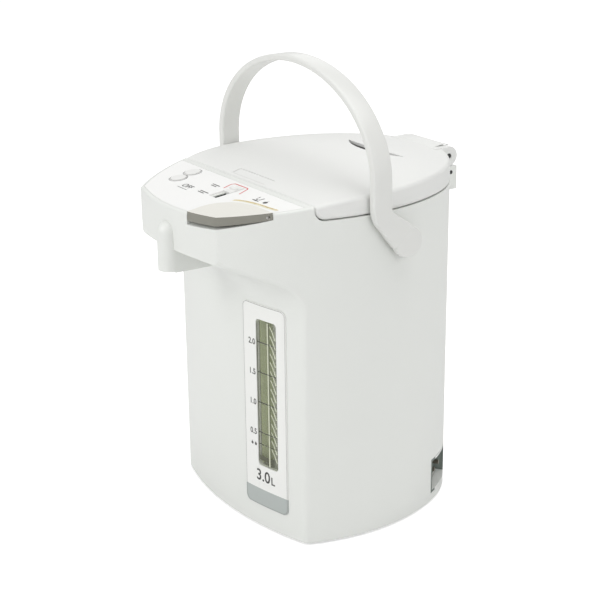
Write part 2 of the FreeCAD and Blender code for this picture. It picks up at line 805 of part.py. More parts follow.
panel_recess = panel_slab("panel_recess", D.panel_plate, sized(-20), D.panel_margin)
mouth_hole = rod("mouth_hole", (0, BACK_Y, D.parting_front_z), MOUTH_RADIUS + D.mouth_wall + D.still_gap,
                 60)
mouth_seat = rod("mouth_seat", (0, BACK_Y, D.lid_parting_z - 1.4), MOUTH_RADIUS + 7 + D.still_gap, 20)
behind_seam = block("behind_seam", -FAR, FAR, STEP_BACK_Y + 0.2, FAR, 200, 400)
mouth_cut = common("mouth_cut", fuse("mouth_room", mouth_hole, mouth_seat), behind_seam)
BOARD_FRONT_Y = D.head_front_y + 21.3
BOARD_BACK_Y = D.seam_y - 4
BOARD_POSTS = [(-60, BOARD_FRONT_Y + 8), (14, BOARD_FRONT_Y + 4),
               (-62, BOARD_BACK_Y - 6), (14, BOARD_BACK_Y - 6)]
BOARD_DROP = sized(9.0)
board_posts = [rod(f"board_post_{index}", (x, y, panel_z(y, BOARD_DROP - 0.4)), 2.6, BOARD_DROP - 1.9)
               for index, (x, y) in enumerate(BOARD_POSTS, start=1)]
collar_shape = fuse("collar_shape", collar_walls, dome_outside, tray_inside, spring_well, *switch_posts,
                    *board_posts)
LEVER_PIN_Y = LEVER_BACK_Y - 3.0
pin_seat = rod("lever_pin_seat", (D.lever_left_x + 14, LEVER_PIN_Y, D.lever_pin_z),
               D.lever_pin_radius + D.pin_gap, 20, ALONG_X)
lever_stem_hole = rod("lever_stem_hole", (SWITCH_X, SWITCH_Y, 255), 3.6, 30)
keep("collar", cut("collar_cut", collar_shape, dome_room, pocket, lock_slot, *key_holes,
                   panel_recess, mouth_cut, lever_stem_hole, pin_seat, spring_room))

panel_blank = panel_slab("panel_blank", D.panel_plate - 0.05, sized(0), D.panel_margin + D.still_gap)
slot_cut = block("slot_cut", SLOT_LEFT, SLOT_RIGHT, SLOT_FRONT, SLOT_BACK, UNDER_PANEL_Z, 300)
lever_clear = lever_block("lever_clear", 255, 300, -D.moving_gap)
key_windows = [rod(f"key_window_{name}", (x, y, UNDER_PANEL_Z), D.key_radius + D.moving_gap, 40)
               for name, x, y in ROUND_KEYS]
keep("panel_plate", cut("panel_plate_cut", panel_blank, slot_cut, lever_clear, *key_windows))

# Pour lever: a corner-shaped cap that tips down about a pin at its back edge

lever_blank = lever_block("lever_blank", 255, 300, D.moving_gap)
lever_plan = plan_prism("lever_plan", 255, 300, sized(0.1))
side_cut(lever_plan, "lever_under", [(-FAR, 0), (FAR, 0), (FAR, lever_z(FAR)), (-FAR, lever_z(-FAR))])
side_cut(lever_plan, "lever_over", [(-FAR, panel_z(-FAR, -D.lever_proud)),
                                    (FAR, panel_z(FAR, -D.lever_proud)), (FAR, FAR), (-FAR, FAR)])
lever_cap = common("lever_cap", lever_blank, lever_plan)
STEM_LOW_Z = SWITCH_TOP_Z + 2
lever_stem = rod("lever_stem", (SWITCH_X, SWITCH_Y, STEM_LOW_Z), 2.6, lever_z(SWITCH_Y) - STEM_LOW_Z + 1)
LEVER_PIN_X = D.lever_left_x + 15
lever_pin_hole = rod("lever_pin_hole", (LEVER_PIN_X - 1, LEVER_PIN_Y, D.lever_pin_z),
                     D.lever_pin_radius + D.pin_gap, 45, ALONG_X)
keep("pour_lever", cut("pour_lever_cut", fuse("pour_lever_whole", lever_cap, lever_stem), lever_pin_hole))
keep("lever_pin", rod("lever_pin_rod", (LEVER_PIN_X, LEVER_PIN_Y, D.lever_pin_z), D.lever_pin_radius,
                      42, ALONG_X))
keep("lever_spring", tube("lever_spring_body", SPRING_X, SPRING_Y, SPRING_RADIUS, SPRING_RADIUS - 1.2,
                          WELL_LOW_Z + 1.6, pocket_z(SPRING_Y, -1.2)))
keep("lever_switch", fuse("lever_switch_whole",
                          block("switch_case", SWITCH_X - 10, SWITCH_X + 10, SWITCH_Y - 5, SWITCH_Y + 5,
                                SWITCH_TOP_Z - 9, SWITCH_TOP_Z),
                          rod("switch_button", (SWITCH_X, SWITCH_Y, SWITCH_TOP_Z - 1), 2.4, 1.6)))

# Lock slider and the two round keys on the panel

lock_plate = panel_slab("lock_plate_slab", D.panel_plate - 0.05, sized(-0.4), sized(0))
knob_box = block("knob_box", SLOT_LEFT + D.moving_gap, SLOT_RIGHT - D.moving_gap,
                 SLOT_BACK - D.moving_gap - D.lock_knob_length, SLOT_BACK - D.moving_gap, UNDER_PANEL_Z, 300)
knob_grip = block("knob_grip", SLOT_LEFT + 1, SLOT_RIGHT - 1,
                  SLOT_BACK - D.moving_gap - D.lock_knob_length / 2 - 1.4,
                  SLOT_BACK - D.moving_gap - D.lock_knob_length / 2 + 1.4, UNDER_PANEL_Z, 300)
grip_slab = panel_slab("grip_slab", sized(0), sized(-1.8), sized(0))
knob_stem = block("knob_stem", SLOT_LEFT + 3.4, SLOT_RIGHT - 3.4, SLOT_BACK - D.lock_knob_length,
                  SLOT_BACK - 2.6, panel_z(LOCK_Y, 6), panel_z(LOCK_Y, 0.2))
keep("lock_slider", fuse("lock_slider_whole", common("knob_plate", knob_box, lock_plate),
                         common("knob_rib", knob_grip, grip_slab), knob_stem))
for name, x, y in ROUND_KEYS:
    cap = rod(f"key_cap_{name}", (x, y, UNDER_PANEL_Z), D.key_radius, 40)
    slab = panel_slab(f"key_slab_{name}", sized(6.6), -D.key_proud, sized(0))
    keep(f"round_key_{name}", common(f"round_key_{name}_cap", cap, slab))
board = plate("control_board_blank", -65, 20, BOARD_FRONT_Y, BOARD_BACK_Y, 255, 300)
side_cut(board, "board_under", [(-FAR, 0), (FAR, 0), (FAR, panel_z(FAR, BOARD_DROP + 1.6)),
                                (-FAR, panel_z(-FAR, BOARD_DROP + 1.6))])
side_cut(board, "board_over", [(-FAR, panel_z(-FAR, BOARD_DROP + 0.05)),
                               (FAR, panel_z(FAR, BOARD_DROP + 0.05)), (FAR, FAR), (-FAR, FAR)])
keep("control_board", board)

# Container, mouth ring and seal

rim = D.container_rim_z
wall_out = D.container_radius + D.container_sheet
flange_out = wall_out + D.flange_width
floor_low = D.container_floor_z - D.container_sheet
container = turned("container_body", [
    (0, floor_low), (wall_out, floor_low), (wall_out, rim - D.container_sheet),
    (flange_out, rim - D.container_sheet), (flange_out, rim), (D.container_radius, rim),
    (D.container_radius, D.container_floor_z), (0, D.container_floor_z)], 0, BACK_Y)
OUTLET_RADIUS = sized(5.0)
drill(container, "outlet_hole", D.pump_x, D.pump_y, OUTLET_RADIUS, floor_low - 1, D.container_floor_z + 1)
keep("container", container)
SEAL_TOP_Z = rim + 3
keep("container_seal", tube("container_seal_ring", 0, BACK_Y, flange_out, D.container_radius, rim,
                            SEAL_TOP_Z))
mouth_out = MOUTH_RADIUS + D.mouth_wall
mouth_top = D.lid_parting_z
lip_low = D.mouth_lip_z
keep("mouth_ring", turned("mouth_ring_body", [
    (MOUTH_RADIUS, SEAL_TOP_Z), (flange_out, SEAL_TOP_Z), (flange_out, SEAL_TOP_Z + 2.4),
    (mouth_out, SEAL_TOP_Z + 2.4), (mouth_out, mouth_top - 1.4), (MOUTH_RADIUS + 7, mouth_top - 1.4),
    (MOUTH_RADIUS + 7, mouth_top), (MOUTH_RADIUS, mouth_top), (MOUTH_RADIUS, lip_low + 2),
    (MOUTH_RADIUS - D.mouth_lip, lip_low + 2), (MOUTH_RADIUS - D.mouth_lip, lip_low),
    (MOUTH_RADIUS, lip_low)], 0, BACK_Y))
support = tube("support_ring_blank", 0, BACK_Y, D.back_radius - D.wall - D.draft, wall_out + D.still_gap,
               rim - D.container_sheet - 6, rim - D.container_sheet)
side_cut(support, "support_front", [(-FAR, 0), (D.seam_y + 8, 0), (D.seam_y + 8, FAR), (-FAR, FAR)])
keep("support_ring", support)
sleeve_in = wall_out + D.still_gap
BAND_LOW_Z = D.container_floor_z + 4
BAND_HIGH_Z = BAND_LOW_Z + 18
keep("band_heater", tube("band_heater_ring", 0, BACK_Y, sleeve_in + 2, sleeve_in, BAND_LOW_Z, BAND_HIGH_Z))
keep("insulation_sleeve", tube("insulation_sleeve_ring", 0, BACK_Y, sleeve_in + D.sleeve_thickness, sleeve_in,
                               BAND_HIGH_Z + 0.3, rim - D.container_sheet - 6.3))
keep("base_heater", tube("base_heater_ring", 0, BACK_Y, 44, 30, floor_low - 5.2, floor_low - 0.2))
keep("thermistor", disc("thermistor_cup", 0, BACK_Y, 8, floor_low - 9, floor_low - 0.2))
keep("thermal_cutout", block("thermal_cutout_block", -26, -14, BACK_Y - 6, BACK_Y + 6,
                             floor_low - 6, floor_low - 0.2))

# Pump train under the container: bracket, motor, magnet drive, impeller and covers

PUMP_AT = (D.pump_x, D.pump_y)
base = D.pump_base_z
MOTOR_LOW_Z = INNER_LOW_Z + 2
MOTOR_HIGH_Z = base - 7
keep("pump_bracket", turned("pump_bracket_cup", [
    (0, INNER_LOW_Z), (D.pump_radius, INNER_LOW_Z), (D.pump_radius, base), (D.pump_radius - 2, base),
    (D.pump_radius - 2, MOTOR_LOW_Z), (0, MOTOR_LOW_Z)], *PUMP_AT))
shaft_room = D.motor_shaft_radius + D.pin_gap
keep("pump_motor", turned("pump_motor_can", [
    (0, MOTOR_LOW_Z), (D.motor_radius, MOTOR_LOW_Z), (D.motor_radius, MOTOR_HIGH_Z),
    (shaft_room, MOTOR_HIGH_Z), (shaft_room, MOTOR_HIGH_Z - 9), (0, MOTOR_HIGH_Z - 9)], *PUMP_AT))
keep("motor_shaft", disc("motor_shaft_rod", *PUMP_AT, D.motor_shaft_radius, MOTOR_HIGH_Z - 8.5, base - 1.6))
keep("drive_magnet", tube("drive_magnet_ring", *PUMP_AT, 12, D.motor_shaft_radius, base - 5.6, base - 1.6))
chamber = D.impeller_radius + 1
housing_cup = turned("pump_housing_cup", [
    (0, base), (D.pump_radius, base), (D.pump_radius, base + 10), (chamber, base + 10),
    (chamber, base + 1.6), (1.5, base + 1.6), (1.5, base + 8), (0, base + 8)], *PUMP_AT)
keep("pump_seal", tube("pump_seal_ring", *PUMP_AT, D.pump_radius - 1.2, D.pump_radius - 3.4,
                       base + 10, base + 10.8))
SPIGOT_Z = base + 19
keep("pump_cover", turned("pump_cover_disc", [
    (OUTLET_RADIUS, base + 10.8), (D.pump_radius, base + 10.8), (D.pump_radius, base + 13),
    (OUTLET_RADIUS + 2, base + 13), (OUTLET_RADIUS + 2, SPIGOT_Z), (OUTLET_RADIUS, SPIGOT_Z)], *PUMP_AT))
keep("inlet_hose", tube("inlet_hose_sleeve", *PUMP_AT, OUTLET_RADIUS + 4.5, OUTLET_RADIUS + 2,
                        base + 14, floor_low))
POST_PIN = sized(1.5)
hub_bore = POST_PIN + D.pin_gap
hub = turned("impeller_disc", [
    (hub_bore, base + 2.2), (D.impeller_radius, base + 2.2), (D.impeller_radius, base + 3.6),
    (6, base + 3.6), (6, base + 8), (hub_bore, base + 8)], *PUMP_AT)
BLADE_COUNT = 6
blades = []
for index in range(BLADE_COUNT):
    angle = 360 / BLADE_COUNT * index
    blades.append(primitive("Box", f"impeller_blade_{index + 1}", (D.pump_x, D.pump_y, base + 3.6),
                            ((0, 0, 1), angle), Length=D.impeller_radius - 1, Width=1.4, Height=4))
blade_ring = cut("impeller_blades", fuse("blade_star", *blades), rod("blade_bore", (*PUMP_AT, base), 4, 20))
keep("impeller", fuse("impeller_whole", hub, blade_ring))

# Water path to the spout: low elbow, gauge tube, top elbow, spout hose and nozzle

tube_y = D.gauge_tube_y
tube_out = D.gauge_tube_radius
run_x = D.gauge_x - D.pump_x
run_y = tube_y - D.pump_y
run = root(run_x * run_x + run_y * run_y)
low_turn = math.degrees(math.atan2(run_y.number, run_x.number))
LOW_PIPE_Z = base + 6


def level_rod(name, start, length, radius, turn_degrees, z):
    """Level rod from a start place, in a direction seen from above."""
    level = rod(name, (start[0], start[1], z), radius, length)
    turn = FreeCAD.Rotation(FreeCAD.Vector(0, 0, 1), turn_degrees)
    level.Placement.Rotation = turn.multiply(FreeCAD.Rotation(FreeCAD.Vector(0, 1, 0), 90))
    return level


def level_pipe(name, start, length, outer, inner, turn_degrees, z):
    """Level pipe made of a skin and its bore."""
    return cut(f"{name}_pipe", level_rod(f"{name}_skin", start, length, outer, turn_degrees, z),
               level_rod(f"{name}_bore", start, length, inner, turn_degrees, z))


def along(origin_x, origin_y, dx, dy, length, distance):
    return (origin_x + dx * distance / length, origin_y + dy * distance / length)


SPIGOT_END = D.pump_radius + 9
HOSE_OUT = sized(6.0)
SPIGOT_OUT = sized(3.6)
SPIGOT_BORE = sized(2.3)
spigot_at = along(D.pump_x, D.pump_y, run_x, run_y, run, chamber - 1)
spigot = level_pipe("pump_spigot", spigot_at, SPIGOT_END - chamber + 1, SPIGOT_OUT, SPIGOT_BORE,
                    low_turn, LOW_PIPE_Z)
spigot_way = level_rod("pump_way", spigot_at, D.pump_radius - chamber + 2, SPIGOT_BORE, low_turn, LOW_PIPE_Z)
keep("pump_housing", fuse("pump_housing_whole", cut("housing_bored", housing_cup, spigot_way), cut(
    "spigot_outside", spigot, rod("chamber_room", (*PUMP_AT, base + 1.6), chamber, 20))))
ELBOW_RADIUS = tube_out + 2.4
LOW_HOSE_START = D.pump_radius + 0.4
LOW_HOSE_END = run - ELBOW_RADIUS - 0.3
hose_at = along(D.pump_x, D.pump_y, run_x, run_y, run, LOW_HOSE_START)
keep("pump_hose", level_pipe("pump_hose", hose_at, LOW_HOSE_END - LOW_HOSE_START, HOSE_OUT, SPIGOT_OUT,
                             low_turn, LOW_PIPE_Z))
elbow_cup = turned("low_elbow_cup", [
    (0, LOW_PIPE_Z - 6), (ELBOW_RADIUS, LOW_PIPE_Z - 6), (ELBOW_RADIUS, D.gauge_tube_bottom_z + 9),
    (tube_out, D.gauge_tube_bottom_z + 9), (tube_out, D.gauge_tube_bottom_z),
    (D.gauge_tube_bore, D.gauge_tube_bottom_z), (D.gauge_tube_bore, LOW_PIPE_Z - 4), (0, LOW_PIPE_Z - 4)],
    D.gauge_x, tube_y)
nipple_at = along(D.pump_x, D.pump_y, run_x, run_y, run, SPIGOT_END + 0.4)
nipple = level_pipe("low_nipple", nipple_at, run - ELBOW_RADIUS - SPIGOT_END + 1, SPIGOT_OUT, SPIGOT_BORE,
                    low_turn, LOW_PIPE_Z)
keep("low_elbow", fuse("low_elbow_whole", elbow_cup, nipple))
keep("gauge_tube", tube("gauge_tube_pipe", D.gauge_x, tube_y, tube_out, D.gauge_tube_bore,
                        D.gauge_tube_bottom_z, D.gauge_tube_top_z))
TOP_PIPE_Z = D.gauge_tube_top_z + 5
top_cup = turned("top_elbow_cup", [
    (tube_out, D.gauge_tube_top_z - 8), (ELBOW_RADIUS, D.gauge_tube_top_z - 8),
    (ELBOW_RADIUS, TOP_PIPE_Z + 6), (0, TOP_PIPE_Z + 6), (0, TOP_PIPE_Z + 4),
    (D.gauge_tube_bore, TOP_PIPE_Z + 4), (D.gauge_tube_bore, D.gauge_tube_top_z),
    (tube_out, D.gauge_tube_top_z)], D.gauge_x, tube_y)
top_dx = -D.gauge_x
top_dy = SPOUT_Y - tube_y
top_run = root(top_dx * top_dx + top_dy * top_dy)
top_turn = math.degrees(math.atan2(top_dy.number, top_dx.number))
top_nipple_at = along(D.gauge_x, tube_y, top_dx, top_dy, top_run, ELBOW_RADIUS - 1)
keep("top_elbow", fuse("top_elbow_whole", top_cup, level_pipe("top_nipple", top_nipple_at, 11, SPIGOT_OUT,
                                                              SPIGOT_BORE, top_turn, TOP_PIPE_Z)))
NOZZLE_REACH = D.nozzle_radius + 8
top_hose_at = along(D.gauge_x, tube_y, top_dx, top_dy, top_run, ELBOW_RADIUS + 0.3)
keep("spout_hose", level_pipe("spout_hose", top_hose_at, top_run - ELBOW_RADIUS - NOZZLE_REACH + 6,
                              HOSE_OUT - 0.8, SPIGOT_OUT, top_turn, TOP_PIPE_Z))
NOZZLE_LOW_Z = D.spout_bottom_z + 3
nozzle_pipe = turned("nozzle_pipe", [
    (D.nozzle_bore, NOZZLE_LOW_Z), (D.nozzle_radius, NOZZLE_LOW_Z), (D.nozzle_radius, TOP_PIPE_Z + 7),
    (0, TOP_PIPE_Z + 7), (0, TOP_PIPE_Z + 5), (D.nozzle_bore, TOP_PIPE_Z + 5)], 0, SPOUT_Y)
nozzle_at = along(D.gauge_x, tube_y, top_dx, top_dy, top_run, top_run - NOZZLE_REACH)
nozzle_nipple = level_pipe("nozzle_nipple", nozzle_at, NOZZLE_REACH - D.nozzle_radius + 1, SPIGOT_OUT,
                           SPIGOT_BORE, top_turn, TOP_PIPE_Z)
keep("spout_nozzle", fuse("spout_nozzle_whole", nozzle_pipe, nozzle_nipple))

# Spout cover: half-round rib with a flat duct back to the body, open at its foot

duct_back = D.body_front_y - 2
cover_high = D.parting_front_z - 0.4
cover_rib = rod("cover_rib", (0, SPOUT_Y, D.spout_bottom_z), D.spout_radius, cover_high - D.spout_bottom_z)
cover_duct = block("cover_duct", -D.spout_radius, D.spout_radius, SPOUT_Y, duct_back, D.spout_bottom_z - 1,
                   cover_high)
cover_skin = cut("cover_skin", fuse("cover_blank", cover_rib, cover_duct), body_outer)
inner_radius = D.spout_radius - D.spout_wall
cover_room = fuse("cover_room",
                  rod("cover_bore", (0, SPOUT_Y, D.spout_bottom_z - 5), inner_radius,
                      cover_high - D.spout_bottom_z + 10),
                  block("cover_channel", -inner_radius, inner_radius, SPOUT_Y, duct_back - 18,
                        D.spout_bottom_z + D.spout_wall, cover_high + 10))
keep("spout_cover", cut("spout_cover_cut", cover_skin, cover_room))

# Label plate, window and gauge backing on the front


def front_sheet(name, low_r, high_r):
    """Part of an upright drum that follows the body's front."""
    return cut(name, rod(f"{name}_drum", (0, FRONT_AXIS_Y, 0), high_r, FAR),
               rod(f"{name}_core", (0, FRONT_AXIS_Y, -1), low_r, FAR + 2))


label_block = front_block("label_block", D.label_left_x, D.label_right_x, D.label_bottom_z, D.label_top_z,
                          D.label_corner)
label_skin = front_sheet("label_skin", D.body_front_radius + 0.05, D.body_front_radius + D.label_sheet)
keep("label_plate", cut("label_plate_cut", common("label_sheet_whole", label_block, label_skin), window_hole))
GLASS = sized(2.0)
window_block = front_block("window_block", D.gauge_x - D.window_width / 2 + D.still_gap,
                           D.gauge_x + D.window_width / 2 - D.still_gap, D.window_bottom_z + D.still_gap,
                           D.window_top_z - D.still_gap, D.window_corner - D.still_gap)
keep("gauge_window", common("gauge_window_glass", window_block, front_sheet(
    "window_skin", D.body_front_radius + 0.4 - GLASS, D.body_front_radius + 0.4)))
BACKING_Y = tube_y + tube_out + 0.3
keep("gauge_backing", block("gauge_backing_plate", D.gauge_x - 14, D.gauge_x + 14, BACKING_Y, BACKING_Y + 1.2,
                            D.window_bottom_z - 4, D.window_top_z + 5))

# Base: cover, screws, feet, chassis, power board and inlet

base_plan = plan_prism("base_plan", D.base_z, INNER_LOW_Z, D.wall + D.draft + D.still_gap, True)
for index, (x, y) in enumerate(POST_PLACES, start=1):
    drill(base_plan, f"base_screw_hole_{index}", x, y, 1.7, D.base_z - 1, INNER_LOW_Z + 1)
screws = [turned(f"base_screw_{index}", [(0, D.base_z - 1.6), (3, D.base_z - 1.6), (3, D.base_z - 0.02),
                                         (SCREW_BORE - 0.04, D.base_z - 0.02),
                                         (SCREW_BORE - 0.04, INNER_LOW_Z + 11), (0, INNER_LOW_Z + 11)], x, y)
          for index, (x, y) in enumerate(POST_PLACES, start=1)]
keep("base_screws", group("base_screws_group", *screws))
FOOT_PLACES = [(-66, -38), (66, -38), (-58, 62), (58, 62)]
feet = [turned(f"foot_{index}", [(0, 0), (D.foot_radius, 0), (D.foot_radius, D.base_z), (0, D.base_z)], x, y)
        for index, (x, y) in enumerate(FOOT_PLACES, start=1)]
keep("rubber_feet", group("rubber_feet_group", *feet))
CHASSIS_THICK = sized(1.6)
chassis = disc("chassis_disc", 0, BACK_Y, 70, D.chassis_z - CHASSIS_THICK, D.chassis_z)
drill(chassis, "chassis_pump_hole", *PUMP_AT, OUTLET_RADIUS + 6, D.chassis_z - 3, D.chassis_z + 1)
drill(chassis, "chassis_centre_hole", 0, BACK_Y, 10, D.chassis_z - 3, D.chassis_z + 1)
LEG_PLACES = [(-45, -18), (58, 48), (-6, -36), (0, 88)]
legs = [rod(f"chassis_leg_{index}", (x, y, INNER_LOW_Z), 3.5, D.chassis_z - INNER_LOW_Z - 1)
        for index, (x, y) in enumerate(LEG_PLACES, start=1)]
heater_feet = [block(f"heater_foot_{index}", x - 3, x + 3, BACK_Y + y - 3, BACK_Y + y + 3, D.chassis_z - 1,
                     floor_low - 5.4)
               for index, (x, y) in enumerate([(-36, 0), (0, 36), (0, -36)], start=1)]
keep("chassis_plate", fuse("chassis_whole", chassis, *legs, *heater_feet))
BOARD_Z = INNER_LOW_Z + 6
power_board = plate("power_board_plate", -74, -14, 8, 70, BOARD_Z, BOARD_Z + 1.6)
standoffs = [rod(f"board_standoff_{index}", (x, y, INNER_LOW_Z - 1), 3, 7)
             for index, (x, y) in enumerate([(-68, 12), (-20, 12), (-68, 64), (-20, 64)], start=1)]
keep("power_board", power_board)
keep("base_cover", fuse("base_cover_whole", base_plan, *standoffs))
keep("power_relay", block("power_relay_case", -70, -44, 40, 56, BOARD_Z + 1.6, BOARD_Z + 18))
keep("transformer", fuse("transformer_whole",
                         block("transformer_core", -42, -16, 20, 52, BOARD_Z + 1.6, BOARD_Z + 24),
                         block("transformer_coil", -38, -20, 16, 56, BOARD_Z + 5, BOARD_Z + 20)))

socket_block = inlet_box("socket_block", D.inlet_depth, 10, INLET_HALF + D.inlet_wall,
                         D.inlet_bottom_z - D.inlet_wall, INLET_TOP_Z + D.inlet_wall)
socket_skin = common("socket_skin", socket_block, body_outer)
socket_room = inlet_box("socket_room", D.inlet_depth - D.inlet_wall, 12, INLET_HALF, D.inlet_bottom_z,
                        INLET_TOP_Z)
PIN_RADIUS = sized(1.9)
INLET_MID_Z = D.inlet_bottom_z + D.inlet_height / 2


def inlet_rod(name, reach_in, length, offset, radius, z):
    near = D.back_radius - reach_in
    x = near * cos_inlet + offset * sin_inlet
    y = BACK_Y + near * sin_inlet - offset * cos_inlet
    return level_rod(name, (x, y), length, radius, D.inlet_angle.number, z)


keep("inlet_socket", cut("inlet_socket_cut", socket_skin, socket_room))
PIN_ROOT = D.inlet_depth - D.inlet_wall
keep("inlet_pins", group("inlet_pins_group",
                         inlet_rod("inlet_pin_one", PIN_ROOT, 7, sized(-8), PIN_RADIUS, INLET_MID_Z),
                         inlet_rod("inlet_pin_two", PIN_ROOT, 7, sized(8), PIN_RADIUS, INLET_MID_Z)))
keep("inlet_magnets", group("inlet_magnets_group",
                            inlet_box("inlet_magnet_low", PIN_ROOT, -PIN_ROOT + 3, 15, D.inlet_bottom_z + 1,
                                      D.inlet_bottom_z + 5),
                            inlet_box("inlet_magnet_high", PIN_ROOT, -PIN_ROOT + 3, 15, INLET_TOP_Z - 5,
                                      INLET_TOP_Z - 1)))

# Lid: crowned cover, liner with its plug, gasket, release key, vent and valve

LID_FRONT_Y = STEP_BACK_Y + D.seam_gap
ROOF_HALF = BODY_HALF + 4
ROOF_STATIONS = [
    (D.seam_y - 4, D.shoulder_seam_z - 0.8, D.seam_z - 0.4),
    (D.seam_y + 19, D.shoulder_seam_z + 3.2, D.crown_quarter_z - 1.4),
    (D.seam_y + 45, D.shoulder_mid_z - 0.7, D.crown_quarter_z + 2.2),
    (D.seam_y + 80, D.shoulder_mid_z, D.crown_mid_z),
    (D.seam_y + 130, D.shoulder_mid_z - 0.2, D.crown_mid_z - 0.4),
    (HINGE_Y + 14, D.shoulder_mid_z - 0.9, D.crown_back_z),
]


def roof(name, drop=0):
    """Block under the crowned lid surface, lofted through upright sections from front to back."""
    body = new_body(name)
    low = D.lid_parting_z - 30
    sections = []
    for index, (y, shoulder, crown) in enumerate(ROOF_STATIONS, start=1):
        sketch = sketch_on(body, f"{name}_section_{index}", "XZ_Plane", -y)
        side = shoulder - drop
        rise = crown - shoulder
        radius = (ROOF_HALF * ROOF_HALF + rise * rise) / (2 * rise)
        centre_z = crown - drop - radius
        corners = [(-ROOF_HALF, side), (-ROOF_HALF, low), (ROOF_HALF, low), (ROOF_HALF, side)]
        points = [FreeCAD.Vector(x.number, sized(z).number, 0) for x, z in corners]
        for start, end in zip(points, points[1:]):
            sketch.addGeometry(Part.LineSegment(start, end), False)
        half = math.asin(ROOF_HALF.number / radius.number)
        upright = math.pi / 2
        sketch.addGeometry(arc_of((0, centre_z.number), radius.number, upright - half, upright + half), False)
        for curve, (x, z) in enumerate(corners[:3]):
            pin_point(sketch, curve, 1, x, z)
        pin_point(sketch, 2, 2, *corners[3])
        sketch.addConstraint(Sketcher.Constraint("Coincident", 0, 2, 1, 1))
        sketch.addConstraint(Sketcher.Constraint("Coincident", 1, 2, 2, 1))
        sketch.addConstraint(Sketcher.Constraint("Coincident", 2, 2, 3, 1))
        sketch.addConstraint(Sketcher.Constraint("Coincident", 3, 2, 0, 1))
        measure(sketch, "Radius", 3, radius)
        sections.append(sketch)
    loft = body.newObject("PartDesign::AdditiveLoft", f"{name}_loft")
    loft.Profile = sections[0]
    loft.Sections = sections[1:]
    return body


def lid_prism(name, low, high, inset, front_y):
    body = plan_prism(name, low, high, inset)
    side_cut(body, f"{name}_front", [(-FAR, 0), (front_y, 0), (front_y, FAR), (-FAR, FAR)])
    return body


def front_foot(low):
    return lambda edge: (edge.BoundBox.XLength > 150 and edge.BoundBox.YLength < 0.01
                         and abs(edge.BoundBox.ZMin - sized(low).number) < 0.01)


lid_block = lid_prism("lid_block", LID_LOW_Z, D.crown_mid_z + 4, sized(0), LID_FRONT_Y)
round_edges(lid_block, "lid_front_corner", D.lid_corner_radius, front_foot(LID_LOW_Z))
lid_sharp = common("lid_sharp", lid_block, roof("lid_roof"))


def is_shoulder(edge):
    """Edges where the lid's upright walls meet its roof."""
    return edge.BoundBox.ZMin > D.lid_parting_z.number + 5


def rounded(name, source, radius, test):
    """Source with the edges that pass the test rounded."""
    doc.recompute()
    smooth = doc.addObject("Part::Fillet", name)
    smooth.Base = source
    chosen = [number for number, edge in enumerate(source.Shape.Edges, start=1) if test(edge)]
    smooth.Edges = [(number, radius.number, radius.number) for number in chosen]
    return smooth


lid_solid = rounded("lid_solid", lid_sharp, D.top_round, is_shoulder)
void_low = LID_LOW_Z + D.wall
lid_void = lid_prism("lid_void", void_low, D.crown_mid_z + 4, D.wall, LID_FRONT_Y + D.wall)
round_edges(lid_void, "lid_void_corner", D.lid_corner_radius - D.wall, front_foot(void_low))
lid_room = common("lid_room", lid_void, roof("lid_roof_under", D.wall))
MOUTH_FRONT_Y = LID_FRONT_Y + D.lid_corner_radius + 1.2
lid_mouth = lid_prism("lid_mouth", LID_LOW_Z - 5, void_low + 1, D.wall, MOUTH_FRONT_Y)
EAR_OUT = D.hinge_half_width
EAR_IN = EAR_OUT - D.hinge_ear_width
KNUCKLE_HALF = EAR_IN - D.moving_gap
ear = fuse("lid_ear", rod("lid_ear_round", (EAR_IN, HINGE_Y, D.hinge_z), D.hinge_knuckle_radius,
                          D.hinge_ear_width, ALONG_X),
           block("lid_ear_root", EAR_IN, EAR_OUT, HINGE_Y - 16, HINGE_Y, D.hinge_z - 8, D.hinge_z + 8))
ear_hole = rod("lid_ear_hole", (-EAR_OUT - 1, HINGE_Y, D.hinge_z), D.hinge_pin_radius + D.pin_gap,
               2 * EAR_OUT + 2, ALONG_X)
hinge_notch = block("hinge_notch", -EAR_IN, EAR_IN, HINGE_Y - D.hinge_knuckle_radius - 1.2, FAR,
                    D.lid_parting_z - 5, FAR)
KEY_HALF = sized(26.5)
KEY_FRONT_Y = LID_FRONT_Y + D.wall + 1.0
KEY_BACK_Y = KEY_FRONT_Y + 8
key_hole = block("lid_key_hole", -KEY_HALF, KEY_HALF, KEY_FRONT_Y, KEY_BACK_Y, LID_LOW_Z + 3, FAR)
VENT_FRONT_Y = D.seam_y + 117
VENT_HALF = sized(41.0)


def crescent(name, grow, low, high):
    """Crescent between a bulging front arc and a flatter back arc."""
    front_radius = (VENT_HALF * VENT_HALF + 14 * 14) / 28
    back_radius = (VENT_HALF * VENT_HALF + 4 * 4) / 8
    front_disc = rod(f"{name}_front", (0, VENT_FRONT_Y + front_radius, low), front_radius + grow, high - low)
    back_disc = rod(f"{name}_back", (0, VENT_FRONT_Y + 10 + back_radius, low), back_radius - grow, high - low)
    return cut(name, front_disc, back_disc)


